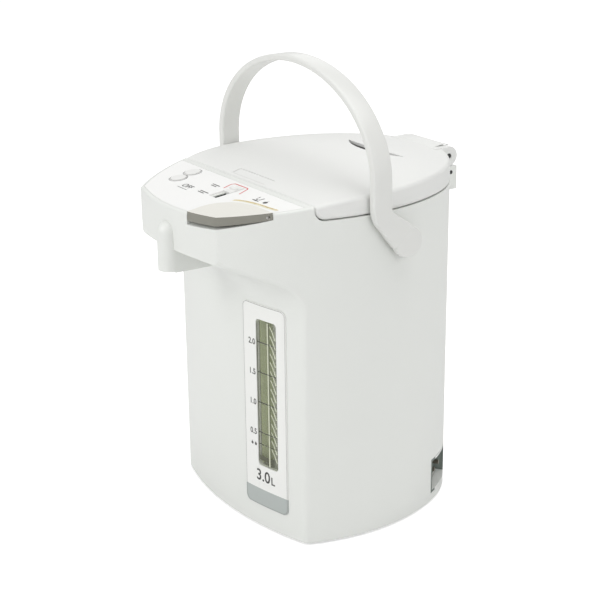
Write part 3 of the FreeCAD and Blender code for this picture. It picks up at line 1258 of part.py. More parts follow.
vent_hole = crescent("vent_hole", sized(0), void_low + 3, sized(FAR))
lid_walls = cut("lid_walls", lid_solid, lid_room, lid_mouth)
keep("lid_cover", cut("lid_cover_cut", fuse("lid_with_ears", lid_walls, ear, mirrored("lid_ear_left", ear)),
                      ear_hole, hinge_notch, key_hole, vent_hole))
vent_blank = crescent("vent_blank", sized(1.6), D.crown_mid_z - 9, sized(FAR))
vent_slab = cut("vent_slab", common("vent_under", vent_blank, roof("vent_roof", D.wall + 0.15)),
                block("vent_floor", -60, 60, 0, FAR, 100, D.crown_mid_z - 6.4))
SLAT_PITCH = 5.0
slats = [block(f"vent_slot_{index}", SLAT_PITCH * index - 1.2, SLAT_PITCH * index + 1.2, VENT_FRONT_Y + 1.5,
               VENT_FRONT_Y + 8.2, D.crown_mid_z - 20, D.crown_mid_z + 5)
         for index in range(-4, 5)]
keep("vent_grille", cut("vent_grille_cut", vent_slab, fuse("vent_slots", *slats)))
LINER_LOW_Z = LID_LOW_Z + 0.2
LINER_HIGH_Z = LINER_LOW_Z + 2
liner_plate = lid_prism("liner_plate", LINER_LOW_Z, LINER_HIGH_Z, D.wall + D.still_gap,
                        MOUTH_FRONT_Y + D.still_gap)
side_cut(liner_plate, "liner_back", [(HINGE_Y - D.hinge_knuckle_radius - 1.6, 0), (FAR, 0), (FAR, FAR),
                                     (HINGE_Y - D.hinge_knuckle_radius - 1.6, FAR)])
PLUG_LOW_Z = lip_low + 5.3
plug = turned("liner_plug", [(0, PLUG_LOW_Z), (PLUG_RADIUS, PLUG_LOW_Z), (PLUG_RADIUS, LINER_LOW_Z + 0.5),
                             (PLUG_RADIUS - 2, LINER_LOW_Z + 0.5), (PLUG_RADIUS - 2, PLUG_LOW_Z + 2),
                             (0, PLUG_LOW_Z + 2)], 0, BACK_Y)
CAGE_Y = VENT_FRONT_Y + 7
plug_room = rod("plug_room", (0, BACK_Y, PLUG_LOW_Z + 2), PLUG_RADIUS - 2, 60)
liner_whole = fuse("lid_liner_whole", cut("liner_ring", liner_plate, plug_room), plug)
keep("lid_liner", cut("lid_liner_cut", liner_whole, rod("steam_way", (0, CAGE_Y, PLUG_LOW_Z - 1), 4, 8)))
keep("lid_gasket", tube("lid_gasket_ring", 0, BACK_Y, PLUG_RADIUS + 0.4, PLUG_RADIUS - 6, lip_low + 2.3,
                        PLUG_LOW_Z))
cage_low = PLUG_LOW_Z + 2
cage_high = cage_low + 26
BALL_RADIUS = sized(5.0)
keep("valve_cage", turned("valve_cage_cup", [
    (4, cage_low), (11, cage_low), (11, cage_high), (9, cage_high), (9, cage_low + 6), (4, cage_low + 2)],
    0, CAGE_Y))
# the ball lies in a cone that rises 4 over a run of 5 from its 4 mm hole
CONE_LENGTH = root(sized(4 * 4 + 5 * 5))
BALL_Z = cage_low + ((BALL_RADIUS + D.still_gap) * CONE_LENGTH - 6) / 5
keep("valve_ball", primitive("Sphere", "valve_ball_body", (0, CAGE_Y, BALL_Z), Radius=BALL_RADIUS))
key_cap = common("lid_key_cap", block("lid_key_block", -KEY_HALF + D.moving_gap, KEY_HALF - D.moving_gap,
                                      KEY_FRONT_Y + D.moving_gap, KEY_BACK_Y - D.moving_gap,
                                      LID_LOW_Z + 6.5, D.crown_mid_z), roof("lid_key_roof", 0.25))
key_stem = block("lid_key_stem", -8, 8, KEY_FRONT_Y + 1.5, KEY_BACK_Y - 1.5, LINER_HIGH_Z + 3.4,
                 LID_LOW_Z + 7)
keep("lid_key", fuse("lid_key_whole", key_cap, key_stem))

# Hinge bracket on the collar's back, with its pin

bracket = fuse("hinge_bracket_blank",
               block("bracket_foot", -EAR_OUT, EAR_OUT, HINGE_Y - 14, HINGE_Y + D.hinge_knuckle_radius,
                     D.hinge_bottom_z, D.hinge_z - D.hinge_knuckle_radius - 0.8),
               block("bracket_neck", -KNUCKLE_HALF, KNUCKLE_HALF, HINGE_Y - 1,
                     HINGE_Y + D.hinge_knuckle_radius - 0.4, D.hinge_bottom_z, D.hinge_z),
               rod("bracket_knuckle", (-KNUCKLE_HALF, HINGE_Y, D.hinge_z), D.hinge_knuckle_radius - 0.4,
                   2 * KNUCKLE_HALF, ALONG_X))
back_room = plan_prism("back_room", D.shell_bottom_z, D.crown_mid_z, -D.still_gap)
bracket_bore = rod("bracket_bore", (-FAR / 4, HINGE_Y, D.hinge_z), D.hinge_pin_radius + D.pin_gap, FAR / 2,
                   ALONG_X)
keep("hinge_bracket", cut("hinge_bracket_cut", bracket, back_room, bracket_bore))
keep("hinge_pin", rod("hinge_pin_rod", (-EAR_OUT + 0.6, HINGE_Y, D.hinge_z), D.hinge_pin_radius,
                      2 * EAR_OUT - 1.2, ALONG_X))

# Bail handle: an elliptical strap whose feet kink back to the pivots

STRAP_OUT = BODY_HALF + D.handle_gap + D.handle_thickness
STRAP_IN = STRAP_OUT - D.handle_thickness
STRAP_BACK_Y = D.handle_front_y + D.handle_width


def oval_block(name, half_width, rise):
    oval = doc.addObject("Part::Ellipse", f"{name}_line")
    bind(oval, "MajorRadius", half_width)
    bind(oval, "MinorRadius", rise)
    oval.Placement.Rotation = FreeCAD.Rotation(FreeCAD.Vector(1, 0, 0), 90)
    bind(oval, "Placement.Base.y", STRAP_BACK_Y)
    bind(oval, "Placement.Base.z", D.handle_spring_z)
    solid = doc.addObject("Part::Extrusion", name)
    solid.Base = oval
    solid.DirMode = "Custom"
    solid.Dir = FreeCAD.Vector(0, -1, 0)
    bind(solid, "LengthFwd", D.handle_width)
    solid.Solid = True
    return solid


arch = cut("handle_arch", oval_block("handle_outside", STRAP_OUT, D.handle_rise),
           oval_block("handle_inside", STRAP_IN, D.handle_rise - D.handle_thickness + 2),
           block("below_arch", -FAR, FAR, -FAR, FAR, 0, D.handle_spring_z))
leg_top = block("handle_leg", STRAP_IN, STRAP_OUT, D.handle_front_y, STRAP_BACK_Y, D.handle_kink_z - 1,
                D.handle_spring_z)
hub_x = D.pivot_hub_radius * 0.748
hub_z = D.pivot_hub_radius * 0.663
shank = new_body("handle_shank")
shank_sketch = sketch_on(shank, "handle_shank_outline", "YZ_Plane", STRAP_IN)
draw_polygon(shank_sketch, [(D.handle_front_y, D.handle_kink_z), (D.pivot_y - hub_x, D.pivot_z - hub_z),
                            (D.pivot_y + hub_x, D.pivot_z + hub_z), (STRAP_BACK_Y, D.handle_kink_z)])
add_feature(shank, "Pad", shank_sketch, "handle_shank_pad", Length=D.handle_thickness)
pivot_hub = rod("handle_hub", (STRAP_IN, D.pivot_y, D.pivot_z), D.pivot_hub_radius,
                D.handle_thickness - 1.6, ALONG_X)
PIN_END_X = BODY_HALF - 14
pivot_pin = rod("handle_pivot_pin", (PIN_END_X, D.pivot_y, D.pivot_z), D.pivot_pin_radius,
                STRAP_IN - PIN_END_X + 1, ALONG_X)
side_piece = fuse("handle_side", leg_top, shank, pivot_hub, pivot_pin)
keep("handle", fuse("handle_whole", arch, side_piece, mirrored("handle_side_left", side_piece)))
clip = cut("handle_clip", rod("clip_disc", (BODY_HALF - 10.8, D.pivot_y, D.pivot_z), 6.6, 1.4, ALONG_X),
           rod("clip_bore", (BODY_HALF - 12, D.pivot_y, D.pivot_z), D.pivot_pin_radius, 4, ALONG_X))
keep("handle_clips", group("handle_clips_group", clip, mirrored("handle_clip_left", clip)))


# Checks and files

doc.recompute()
failed = []
for thing in doc.Objects:
    if "Invalid" in thing.State or "Error" in thing.State:
        failed.append(thing.Name)
for label, thing in NODES.items():
    shape = thing.Shape
    if shape.isNull() or not shape.isValid() or not shape.Solids:
        failed.append(label)
if failed:
    raise RuntimeError(f"these pieces did not come out whole: {failed}")
for label, thing in NODES.items():
    thing.Shape.exportStep(f"parts/{label}.step")
    print(f"{label}: {len(thing.Shape.Solids)} solids, {thing.Shape.Volume / 1000:.2f} cm3")
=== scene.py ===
import json
import math

import bpy
from mathutils import Matrix, Vector


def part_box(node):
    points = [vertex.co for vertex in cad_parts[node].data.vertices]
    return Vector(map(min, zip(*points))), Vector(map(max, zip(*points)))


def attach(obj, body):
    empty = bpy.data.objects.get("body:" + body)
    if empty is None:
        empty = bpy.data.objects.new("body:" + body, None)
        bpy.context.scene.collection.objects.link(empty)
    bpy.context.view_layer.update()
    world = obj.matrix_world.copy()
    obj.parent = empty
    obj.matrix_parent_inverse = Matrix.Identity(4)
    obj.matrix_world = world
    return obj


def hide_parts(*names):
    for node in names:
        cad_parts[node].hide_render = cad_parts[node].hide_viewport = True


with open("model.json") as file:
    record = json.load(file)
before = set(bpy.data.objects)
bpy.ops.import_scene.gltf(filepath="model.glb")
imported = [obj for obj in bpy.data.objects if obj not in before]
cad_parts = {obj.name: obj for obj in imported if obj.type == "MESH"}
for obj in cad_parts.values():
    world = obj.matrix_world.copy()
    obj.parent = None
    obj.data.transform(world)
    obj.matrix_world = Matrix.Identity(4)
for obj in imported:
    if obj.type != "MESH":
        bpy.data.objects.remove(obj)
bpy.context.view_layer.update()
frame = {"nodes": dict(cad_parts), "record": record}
NODES = frame["nodes"]
SLOT_OF = {part["node"]: part["material_slot"] for part in frame["record"]["subparts"]}
MM = 0.001


# Materials: shared effects are node groups, and each finish is a short function

PATCH_SCALE, SWELL_SCALE, SWELL_SHARE = 38.0, 60.0, 0.4
LINE_STRETCH = (1, 1, 60)
COLOUR_DRIFT = 0.5
PLASTIC_RELIEF, FINE_RELIEF = 0.00012, 0.0001  # metres
METAL_BUMP, CLEAR_BUMP = 0.08, 0.03
COAT_ROUGHNESS = 0.12
CLEAR_IOR, CLEAR_SHADE = 1.46, 0.97


def node_group(name, numbers, colours, outputs):
    """Empty group with float inputs, colour inputs and its outputs."""
    tree = bpy.data.node_groups.new(name, "ShaderNodeTree")
    for label, value in numbers.items():
        socket = tree.interface.new_socket(label, in_out="INPUT", socket_type="NodeSocketFloat")
        socket.default_value = value
    for label in colours:
        tree.interface.new_socket(label, in_out="INPUT", socket_type="NodeSocketColor")
    for label, kind in outputs.items():
        tree.interface.new_socket(label, in_out="OUTPUT", socket_type=kind)
    return tree, tree.nodes.new("NodeGroupInput"), tree.nodes.new("NodeGroupOutput")


def math_node(tree, operation, first, second):
    """Result of an operation on two sockets or plain numbers."""
    node = tree.nodes.new("ShaderNodeMath")
    node.operation = operation
    for socket, value in zip(node.inputs, (first, second)):
        if isinstance(value, (int, float)):
            socket.default_value = value
        else:
            tree.links.new(value, socket)
    return node.outputs[0]


def noise_node(tree, scale, detail=2.0, stretch=(1, 1, 1)):
    """Noise over Object coordinates, with its scale from a number or a socket."""
    place = tree.nodes.new("ShaderNodeTexCoord")
    mapping = tree.nodes.new("ShaderNodeMapping")
    mapping.inputs["Scale"].default_value = stretch
    noise = tree.nodes.new("ShaderNodeTexNoise")
    noise.inputs["Detail"].default_value = detail
    tree.links.new(place.outputs["Object"], mapping.inputs["Vector"])
    tree.links.new(mapping.outputs["Vector"], noise.inputs["Vector"])
    if isinstance(scale, (int, float)):
        noise.inputs["Scale"].default_value = scale
    else:
        tree.links.new(scale, noise.inputs["Scale"])
    return noise.outputs["Fac"]


def make_moulded():
    """Colour drift, rubbed patches and pitted grain of a moulded or cast surface."""
    tree, inside, outside = node_group(
        "moulded_surface",
        {"Drift": 0.03, "Drift Scale": 9.0, "Roughness": 0.4, "Rub": 0.06, "Grain Scale": 900.0},
        ["Colour", "Drift Colour"],
        {"Colour": "NodeSocketColor", "Roughness": "NodeSocketFloat", "Height": "NodeSocketFloat"})
    drift = noise_node(tree, inside.outputs["Drift Scale"], 3.0)
    amount = math_node(tree, "MULTIPLY", drift, inside.outputs["Drift"])
    mix = tree.nodes.new("ShaderNodeMix")
    mix.data_type = "RGBA"
    tree.links.new(amount, mix.inputs["Factor"])
    tree.links.new(inside.outputs["Colour"], mix.inputs["A"])
    tree.links.new(inside.outputs["Drift Colour"], mix.inputs["B"])
    tree.links.new(mix.outputs["Result"], outside.inputs["Colour"])
    patches = noise_node(tree, PATCH_SCALE, 4.0)
    centred = math_node(tree, "SUBTRACT", patches, 0.5)
    rubbed = math_node(tree, "MULTIPLY", centred, inside.outputs["Rub"])
    rough = math_node(tree, "ADD", rubbed, inside.outputs["Roughness"])
    tree.links.new(rough, outside.inputs["Roughness"])
    pits = noise_node(tree, inside.outputs["Grain Scale"])
    swell = noise_node(tree, SWELL_SCALE, 1.0)
    swell_part = math_node(tree, "MULTIPLY", swell, SWELL_SHARE)
    height = math_node(tree, "ADD", pits, swell_part)
    tree.links.new(height, outside.inputs["Height"])
    return tree


def make_brushed():
    """Long fine scratches along one direction, for drawn and rolled metal."""
    tree, inside, outside = node_group(
        "brushed_lines",
        {"Roughness": 0.3, "Spread": 0.2, "Line Scale": 40.0},
        ["Colour", "Line Colour"],
        {"Colour": "NodeSocketColor", "Roughness": "NodeSocketFloat", "Height": "NodeSocketFloat"})
    lines = noise_node(tree, inside.outputs["Line Scale"], 6.0, LINE_STRETCH)
    centred = math_node(tree, "SUBTRACT", lines, 0.5)
    spread = math_node(tree, "MULTIPLY", centred, inside.outputs["Spread"])
    rough = math_node(tree, "ADD", spread, inside.outputs["Roughness"])
    mix = tree.nodes.new("ShaderNodeMix")
    mix.data_type = "RGBA"
    tree.links.new(lines, mix.inputs["Factor"])
    tree.links.new(inside.outputs["Colour"], mix.inputs["A"])
    tree.links.new(inside.outputs["Line Colour"], mix.inputs["B"])
    tree.links.new(mix.outputs["Result"], outside.inputs["Colour"])
    tree.links.new(rough, outside.inputs["Roughness"])
    tree.links.new(lines, outside.inputs["Height"])
    return tree


MOULDED = make_moulded()
BRUSHED = make_brushed()


def blank_material(name):
    """New material with its tree and its shader."""
    material = bpy.data.materials.new(name)
    material.use_nodes = True
    tree = material.node_tree
    return material, tree, tree.nodes["Principled BSDF"]


def place_group(tree, group, shader, colours, numbers, bump, bump_distance):
    """Puts a shared effect in a material and joins it to the shader."""
    node = tree.nodes.new("ShaderNodeGroup")
    node.node_tree = group
    for label, colour in colours.items():
        node.inputs[label].default_value = (*colour, 1)
    for label, value in numbers.items():
        node.inputs[label].default_value = value
    relief = tree.nodes.new("ShaderNodeBump")
    relief.inputs["Strength"].default_value = bump
    relief.inputs["Distance"].default_value = bump_distance
    tree.links.new(node.outputs["Colour"], shader.inputs["Base Color"])
    tree.links.new(node.outputs["Roughness"], shader.inputs["Roughness"])
    tree.links.new(node.outputs["Height"], relief.inputs["Height"])
    tree.links.new(relief.outputs["Normal"], shader.inputs["Normal"])


def plastic(name, colour, tint, roughness, grain=900.0, bump=0.12, coat=0.0):
    """Moulded plastic, paint or print whose colour drifts towards a tint."""
    material, tree, shader = blank_material(name)
    place_group(tree, MOULDED, shader, {"Colour": colour, "Drift Colour": tint},
                {"Roughness": roughness, "Grain Scale": grain, "Drift": COLOUR_DRIFT}, bump, PLASTIC_RELIEF)
    shader.inputs["Coat Weight"].default_value = coat
    shader.inputs["Coat Roughness"].default_value = COAT_ROUGHNESS
    return material


def metal(name, colour, line_colour, roughness):
    """Drawn or rolled metal with fine lines."""
    material, tree, shader = blank_material(name)
    place_group(tree, BRUSHED, shader, {"Colour": colour, "Line Colour": line_colour},
                {"Roughness": roughness}, METAL_BUMP, FINE_RELIEF)
    shader.inputs["Metallic"].default_value = 1.0
    return material


def clear(name, colour, roughness, cover):
    """Thin see-through plastic: cover is the share that it hides of what lies behind."""
    material, tree, shader = blank_material(name)
    shade = [CLEAR_SHADE * value for value in colour]
    place_group(tree, MOULDED, shader, {"Colour": colour, "Drift Colour": shade},
                {"Roughness": roughness, "Grain Scale": 300.0, "Rub": 0.03}, CLEAR_BUMP, FINE_RELIEF)
    shader.inputs["Alpha"].default_value = cover
    shader.inputs["IOR"].default_value = CLEAR_IOR
    return material


FINISH = {
    "white_shell": plastic("shell_white", (0.800, 0.815, 0.785), (0.77, 0.785, 0.75), 0.36, coat=0.15),
    "lid_white": plastic("lid_white", (0.80, 0.805, 0.785), (0.775, 0.78, 0.76), 0.52),
    "panel_white": plastic("panel_film", (0.90, 0.90, 0.885), (0.88, 0.88, 0.865), 0.42, bump=0.05),
    "handle_white": plastic("handle_white", (0.775, 0.78, 0.755), (0.745, 0.75, 0.72), 0.34, coat=0.12),
    "lever_grey": plastic("lever_grey", (0.80, 0.79, 0.735), (0.73, 0.72, 0.66), 0.42, grain=1500.0,
                          bump=0.2),
    "key_grey": plastic("key_caps", (0.82, 0.82, 0.80), (0.79, 0.79, 0.77), 0.45),
    "vent_dark": plastic("vent_dark", (0.035, 0.035, 0.035), (0.05, 0.05, 0.05), 0.5),
    "label_white": plastic("label_sheet", (0.87, 0.875, 0.85), (0.85, 0.855, 0.83), 0.46, bump=0.04),
    "window_clear": clear("window_clear", (0.62, 0.65, 0.50), 0.06, 0.14),
    "tube_clear": clear("tube_clear", (0.80, 0.82, 0.76), 0.08, 0.28),
    "gauge_olive": plastic("gauge_olive", (0.49, 0.545, 0.285), (0.54, 0.60, 0.34), 0.5),
    "inner_plastic": plastic("inner_plastic", (0.72, 0.72, 0.70), (0.68, 0.68, 0.66), 0.45),
    "base_plastic": plastic("base_plastic", (0.66, 0.66, 0.64), (0.60, 0.60, 0.58), 0.55, bump=0.3),
    "stainless": metal("stainless", (0.74, 0.73, 0.72), (0.80, 0.79, 0.78), 0.36),
    "heater_metal": metal("heater_metal", (0.50, 0.48, 0.45), (0.58, 0.56, 0.53), 0.42),
    "insulation_felt": plastic("insulation_felt", (0.66, 0.62, 0.52), (0.50, 0.46, 0.38), 0.95, grain=500.0,
                               bump=1.0),
    "silicone": plastic("silicone", (0.70, 0.70, 0.68), (0.64, 0.64, 0.62), 0.55, coat=0.1),
    "foot_rubber": plastic("foot_rubber", (0.05, 0.05, 0.05), (0.08, 0.08, 0.075), 0.8, bump=0.5),
    "motor_steel": metal("motor_steel", (0.45, 0.45, 0.46), (0.52, 0.52, 0.53), 0.38),
    "impeller_plastic": plastic("impeller_plastic", (0.08, 0.09, 0.12), (0.10, 0.11, 0.14), 0.5),
    "board_green": plastic("board_green", (0.015, 0.09, 0.035), (0.02, 0.12, 0.05), 0.4, coat=0.4),
    "coil_dark": plastic("coil_dark", (0.03, 0.028, 0.025), (0.06, 0.05, 0.04), 0.45, coat=0.2),
    "socket_grey": plastic("socket_grey", (0.150, 0.180, 0.160), (0.17, 0.20, 0.18), 0.5, bump=0.3),
    "contact_brass": metal("contact_brass", (0.20, 0.185, 0.15), (0.25, 0.23, 0.19), 0.5),
    "magnet_nickel": metal("magnet_nickel", (0.55, 0.54, 0.52), (0.62, 0.61, 0.59), 0.18),
    "screw_steel": metal("screw_steel", (0.52, 0.52, 0.52), (0.60, 0.60, 0.60), 0.34),
}
for node_name, thing in NODES.items():
    thing.data.materials.clear()
    thing.data.materials.append(FINISH[SLOT_OF[node_name]])


# Pieces of finer form: primitives, text and merged copies of nodes, shaped in edit mode

INK_GREY = plastic("ink_grey", (0.045, 0.045, 0.042), (0.07, 0.07, 0.065), 0.45, bump=0.02)
INK_PALE = plastic("ink_pale", (0.22, 0.22, 0.215), (0.26, 0.26, 0.255), 0.45, bump=0.02)
# Pale rib colour, also the painted highlight of the level tube
RIB_PALE_AND_HIGHLIGHT = plastic("rib_pale_and_highlight", (0.62, 0.65, 0.50), (0.70, 0.72, 0.58), 0.35, bump=0.02)
# Dark colour for the painted shade lines at the gauge's edges, and for the water line
GUIDE_DARK_AND_SHADE = plastic("guide_dark_and_shade", (0.085, 0.09, 0.055), (0.11, 0.115, 0.075), 0.4, bump=0.02)
INK_RED = plastic("ink_red", (0.62, 0.055, 0.045), (0.66, 0.08, 0.06), 0.42, bump=0.02)
INK_GOLD = plastic("ink_gold", (0.76, 0.54, 0.10), (0.80, 0.60, 0.16), 0.38, bump=0.02)
INK_GLOW = plastic("ink_glow", (0.86, 0.81, 0.60), (0.86, 0.84, 0.72), 0.36, bump=0.02)
BAND_GREY = plastic("band_grey", (0.44, 0.475, 0.46), (0.46, 0.495, 0.48), 0.44, bump=0.04)
# Darker copy of the lever's grey, painted shade for its skirt
LEVER_SIDE_SHADE = plastic("lever_side_painted_shade", (0.245, 0.240, 0.205), (0.27, 0.265, 0.23), 0.46, grain=1500.0, bump=0.2)
# Darker lid white for the painted shade of the embossed lines on the lid's front
LID_EMBOSS_SHADE = plastic("lid_emboss_shade", (0.70, 0.70, 0.68), (0.73, 0.73, 0.71), 0.40, bump=0.05)

# In metres: gaps within which points merge, the height of a print above its face,
# and where a flat print waits before it is laid on
MERGE_GAP, COPY_GAP, MIRROR_GAP = 0.000005, 0.00001, 0.00002
PRINT_LIFT = 0.00006
WAIT_IN_FRONT, WAIT_ABOVE = -0.16, 0.36

# Turns from which an edge stays sharp or gets a bevel
COPY_SHARP, ROUND_SHARP = math.radians(28), math.radians(30)
BEVEL_FROM, SHEET_BEVEL_FROM = math.radians(32), math.radians(50)
LYING_ACROSS = (0, math.pi / 2, 0)

# Shares of a print's radius: inner ring of a spot; tip, shoulders and draw of a drop, and its narrowing
SPOT_INSET = 0.4
DROP_TIP, DROP_SHOULDER, DROP_CROWN, DROP_DRAW, DROP_NARROW = 0.995, 0.8, 1.01, 1.15, 0.7


def start():
    """Leaves edit mode and clears the selection before a new piece."""
    if bpy.context.object and bpy.context.object.mode != "OBJECT":
        bpy.ops.object.mode_set(mode="OBJECT")
    bpy.ops.object.select_all(action="DESELECT")


def pick(test):
    """Selects the points of the piece in hand whose place passes the test."""
    bpy.ops.mesh.select_all(action="DESELECT")
    bpy.ops.object.mode_set(mode="OBJECT")
    for vertex in bpy.context.object.data.vertices:
        vertex.select = test(vertex.co)
    bpy.ops.object.mode_set(mode="EDIT")


def push(step):
    """Draws the selected edge or face out by a step, in metres."""
    bpy.ops.mesh.extrude_region_move(TRANSFORM_OT_translate={"value": step})


def turn(angle, axis, centre):
    """Turns the selection by the right-hand rule, which the operator takes the other way."""
    bpy.ops.transform.rotate(value=-angle, orient_axis=axis, center_override=centre)


def finished(name, finishes, body):
    """Leaves edit mode, moves the place into the mesh and gives the piece its name and finish."""
    if bpy.context.object.mode != "OBJECT":
        bpy.ops.object.mode_set(mode="OBJECT")
    piece = bpy.context.object
    bpy.ops.object.transform_apply(location=True, rotation=True, scale=True)
    piece.name = name
    piece.data.name = name
    piece.data.materials.clear()
    for finish in finishes:
        piece.data.materials.append(finish)
    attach(piece, body)
    return piece


def modify(piece, kind, **values):
    """Adds a modifier with its settings and applies it."""
    modifier = piece.modifiers.new(kind.lower(), kind)
    for key, value in values.items():
        setattr(modifier, key, value)
    bpy.context.view_layer.objects.active = piece
    bpy.ops.object.modifier_apply(modifier=modifier.name)


def face_outwards(piece):
    """Merges doubled points and turns the faces of a closed shape outwards."""
    bpy.context.view_layer.objects.active = piece
    bpy.ops.object.mode_set(mode="EDIT")
    bpy.ops.mesh.select_all(action="SELECT")
    bpy.ops.mesh.remove_doubles(threshold=MERGE_GAP)
    bpy.ops.mesh.normals_make_consistent(inside=False)
    bpy.ops.object.mode_set(mode="OBJECT")


def face_towards(piece, outward):
    """Turns a flat print over where it looks into the surface it lies on."""
    lean = sum((face.normal * face.area for face in piece.data.polygons), Vector())
    if lean.dot(outward) < 0:
        bpy.ops.object.mode_set(mode="EDIT")
        bpy.ops.mesh.select_all(action="SELECT")
        bpy.ops.mesh.flip_normals()
        bpy.ops.object.mode_set(mode="OBJECT")


def lay_on(piece, node, axis):
    """Drops a flat print onto the face of a CAD node, a hair above it."""
    way = {"use_project_y": True} if axis == "Y" else {"use_project_z": True}
    modify(piece, "SHRINKWRAP", target=NODES[node], wrap_method="PROJECT", wrap_mode="ABOVE_SURFACE",
           use_positive_direction=axis == "Y", use_negative_direction=axis == "Z", offset=PRINT_LIFT, **way)
    face_towards(piece, Vector((0, -1, 0)) if axis == "Y" else Vector((0, 0, 1)))


# Printed faces: the node that carries the print, the way it looks, and its material slot
PRINT_ON = {
    "label": ("label_plate", "Y", "label_white"),
    "window": ("gauge_window", "Y", "window_clear"),
    "panel": ("panel_plate", "Z", "panel_white"),
    "lid": ("lid_cover", "Z", "lid_white"),
}


def print_on(name, finish, where, body="root"):
    """Stands the flat shape in hand before its surface and lays it on."""
    node, axis, slot = PRINT_ON[where]
    bpy.ops.object.mode_set(mode="OBJECT")
    piece = bpy.context.object
    if axis == "Y":
        piece.location, piece.rotation_euler = (0, WAIT_IN_FRONT, 0), (math.pi / 2, 0, 0)
    else:
        piece.location, piece.rotation_euler = (0, 0, WAIT_ABOVE), (0, 0, 0)
    finished(name, [finish], body)
    lay_on(piece, node, axis)


def ribbon(name, route, width, finish, where, cuts=4, body="root"):
    """Line of even width along a route given in millimetres across the face."""
    start()
    route = [Vector((x * MM, y * MM, 0)) for x, y in route]
    legs = [after - before for before, after in zip(route, route[1:])]
    aims = [math.atan2(leg.y, leg.x) for leg in legs]
    wide = width * MM
    ahead = legs[0].normalized() * wide / 2
    bpy.ops.mesh.primitive_plane_add(size=wide, location=route[0] - ahead, rotation=(0, 0, aims[0]))
    bpy.ops.object.transform_apply(location=True, rotation=True, scale=True)
    bpy.ops.object.mode_set(mode="EDIT")
    behind = route[0] - ahead
    pick(lambda co: (co - behind).dot(ahead) < 0)
    bpy.ops.mesh.delete(type="VERT")
    bpy.ops.mesh.select_all(action="SELECT")
    for index, leg in enumerate(legs):
        push(leg)
        if index + 1 < len(legs):
            swing = aims[index + 1] - aims[index]
            swing = math.atan2(math.sin(swing), math.cos(swing))
            turn(swing, "Z", route[index + 1])
    bpy.ops.mesh.select_all(action="SELECT")
    bpy.ops.mesh.subdivide(number_cuts=cuts)
    print_on(name, finish, where, body)


def disc_print(name, x, y, radius, inner, finish, where, squeeze=(1, 1, 1)):
    """Round print, a filled spot or, with an inner radius, a ring."""
    start()
    bpy.ops.mesh.primitive_circle_add(vertices=48, radius=radius * MM, fill_type="NGON", location=(0, 0, 0))
    bpy.ops.object.mode_set(mode="EDIT")
    bpy.ops.mesh.select_all(action="SELECT")
    if inner:
        bpy.ops.mesh.inset(thickness=(radius - inner) * MM)
        bpy.ops.mesh.delete(type="FACE")
    else:
        bpy.ops.mesh.inset(thickness=radius * SPOT_INSET * MM)
    bpy.ops.mesh.select_all(action="SELECT")
    bpy.ops.transform.resize(value=squeeze)
    bpy.ops.transform.translate(value=(x * MM, y * MM, 0))
    print_on(name, finish, where)


def drop_print(name, x, y, radius, finish, where):
    """Water drop: a spot whose top point is drawn up."""
    start()
    bpy.ops.mesh.primitive_circle_add(vertices=24, radius=radius * MM, fill_type="NGON", location=(0, 0, 0))
    bpy.ops.object.mode_set(mode="EDIT")
    pick(lambda co: co.y > radius * DROP_TIP * MM)
    bpy.ops.transform.translate(value=(0, radius * DROP_DRAW * MM, 0))
    pick(lambda co: radius * DROP_SHOULDER * MM < co.y < radius * DROP_CROWN * MM)
    bpy.ops.transform.resize(value=(DROP_NARROW, 1, 1), center_override=(0, 0, 0))
    bpy.ops.mesh.select_all(action="SELECT")
    bpy.ops.transform.translate(value=(x * MM, y * MM, 0))
    print_on(name, finish, where)


def letters(name, words, x, y, size, finish, where, weight=0.12):
    """Printed figures or a word, centred at a place in millimetres."""
    start()
    bpy.ops.object.text_add(location=(0, 0, 0))
    writing = bpy.context.object
    writing.data.body = words
    writing.data.size = size * MM
    writing.data.align_x = "CENTER"
    writing.data.align_y = "CENTER"
    writing.data.resolution_u = 4
    writing.data.offset = weight * MM
    bpy.ops.object.convert(target="MESH")
    bpy.ops.object.mode_set(mode="EDIT")
    bpy.ops.mesh.select_all(action="SELECT")
    bpy.ops.transform.translate(value=(x * MM, y * MM, 0))
    print_on(name, finish, where)


def peg(vertices, radius, depth, place):
    """Cylinder lying across the pot, with its sizes and place in millimetres."""
    start()
    bpy.ops.mesh.primitive_cylinder_add(vertices=vertices, radius=radius * MM, depth=depth * MM,
                                        location=[value * MM for value in place], rotation=LYING_ACROSS)
    return bpy.context.object


def reworked(name, node, finishes, body, width, dissolve=2.0):
    """Own copy of a CAD node's mesh, merged, with its edges rounded where a width is given."""
    start()
    piece = bpy.data.objects.new(name, NODES[node].data.copy())
    bpy.context.collection.objects.link(piece)
    bpy.context.view_layer.objects.active = piece
    piece.select_set(True)
    bpy.ops.object.mode_set(mode="EDIT")
    bpy.ops.mesh.select_all(action="SELECT")
    bpy.ops.mesh.remove_doubles(threshold=COPY_GAP)
    bpy.ops.mesh.dissolve_limited(angle_limit=math.radians(dissolve))
    finished(name, finishes, body)
    if width:
        modify(piece, "BEVEL", width=width * MM, segments=3, limit_method="ANGLE", angle_limit=BEVEL_FROM,
               use_clamp_overlap=True)
    bpy.ops.object.shade_smooth_by_angle(angle=COPY_SHARP)
    modify(piece, "WEIGHTED_NORMAL", keep_sharp=True, weight=80)
    return piece


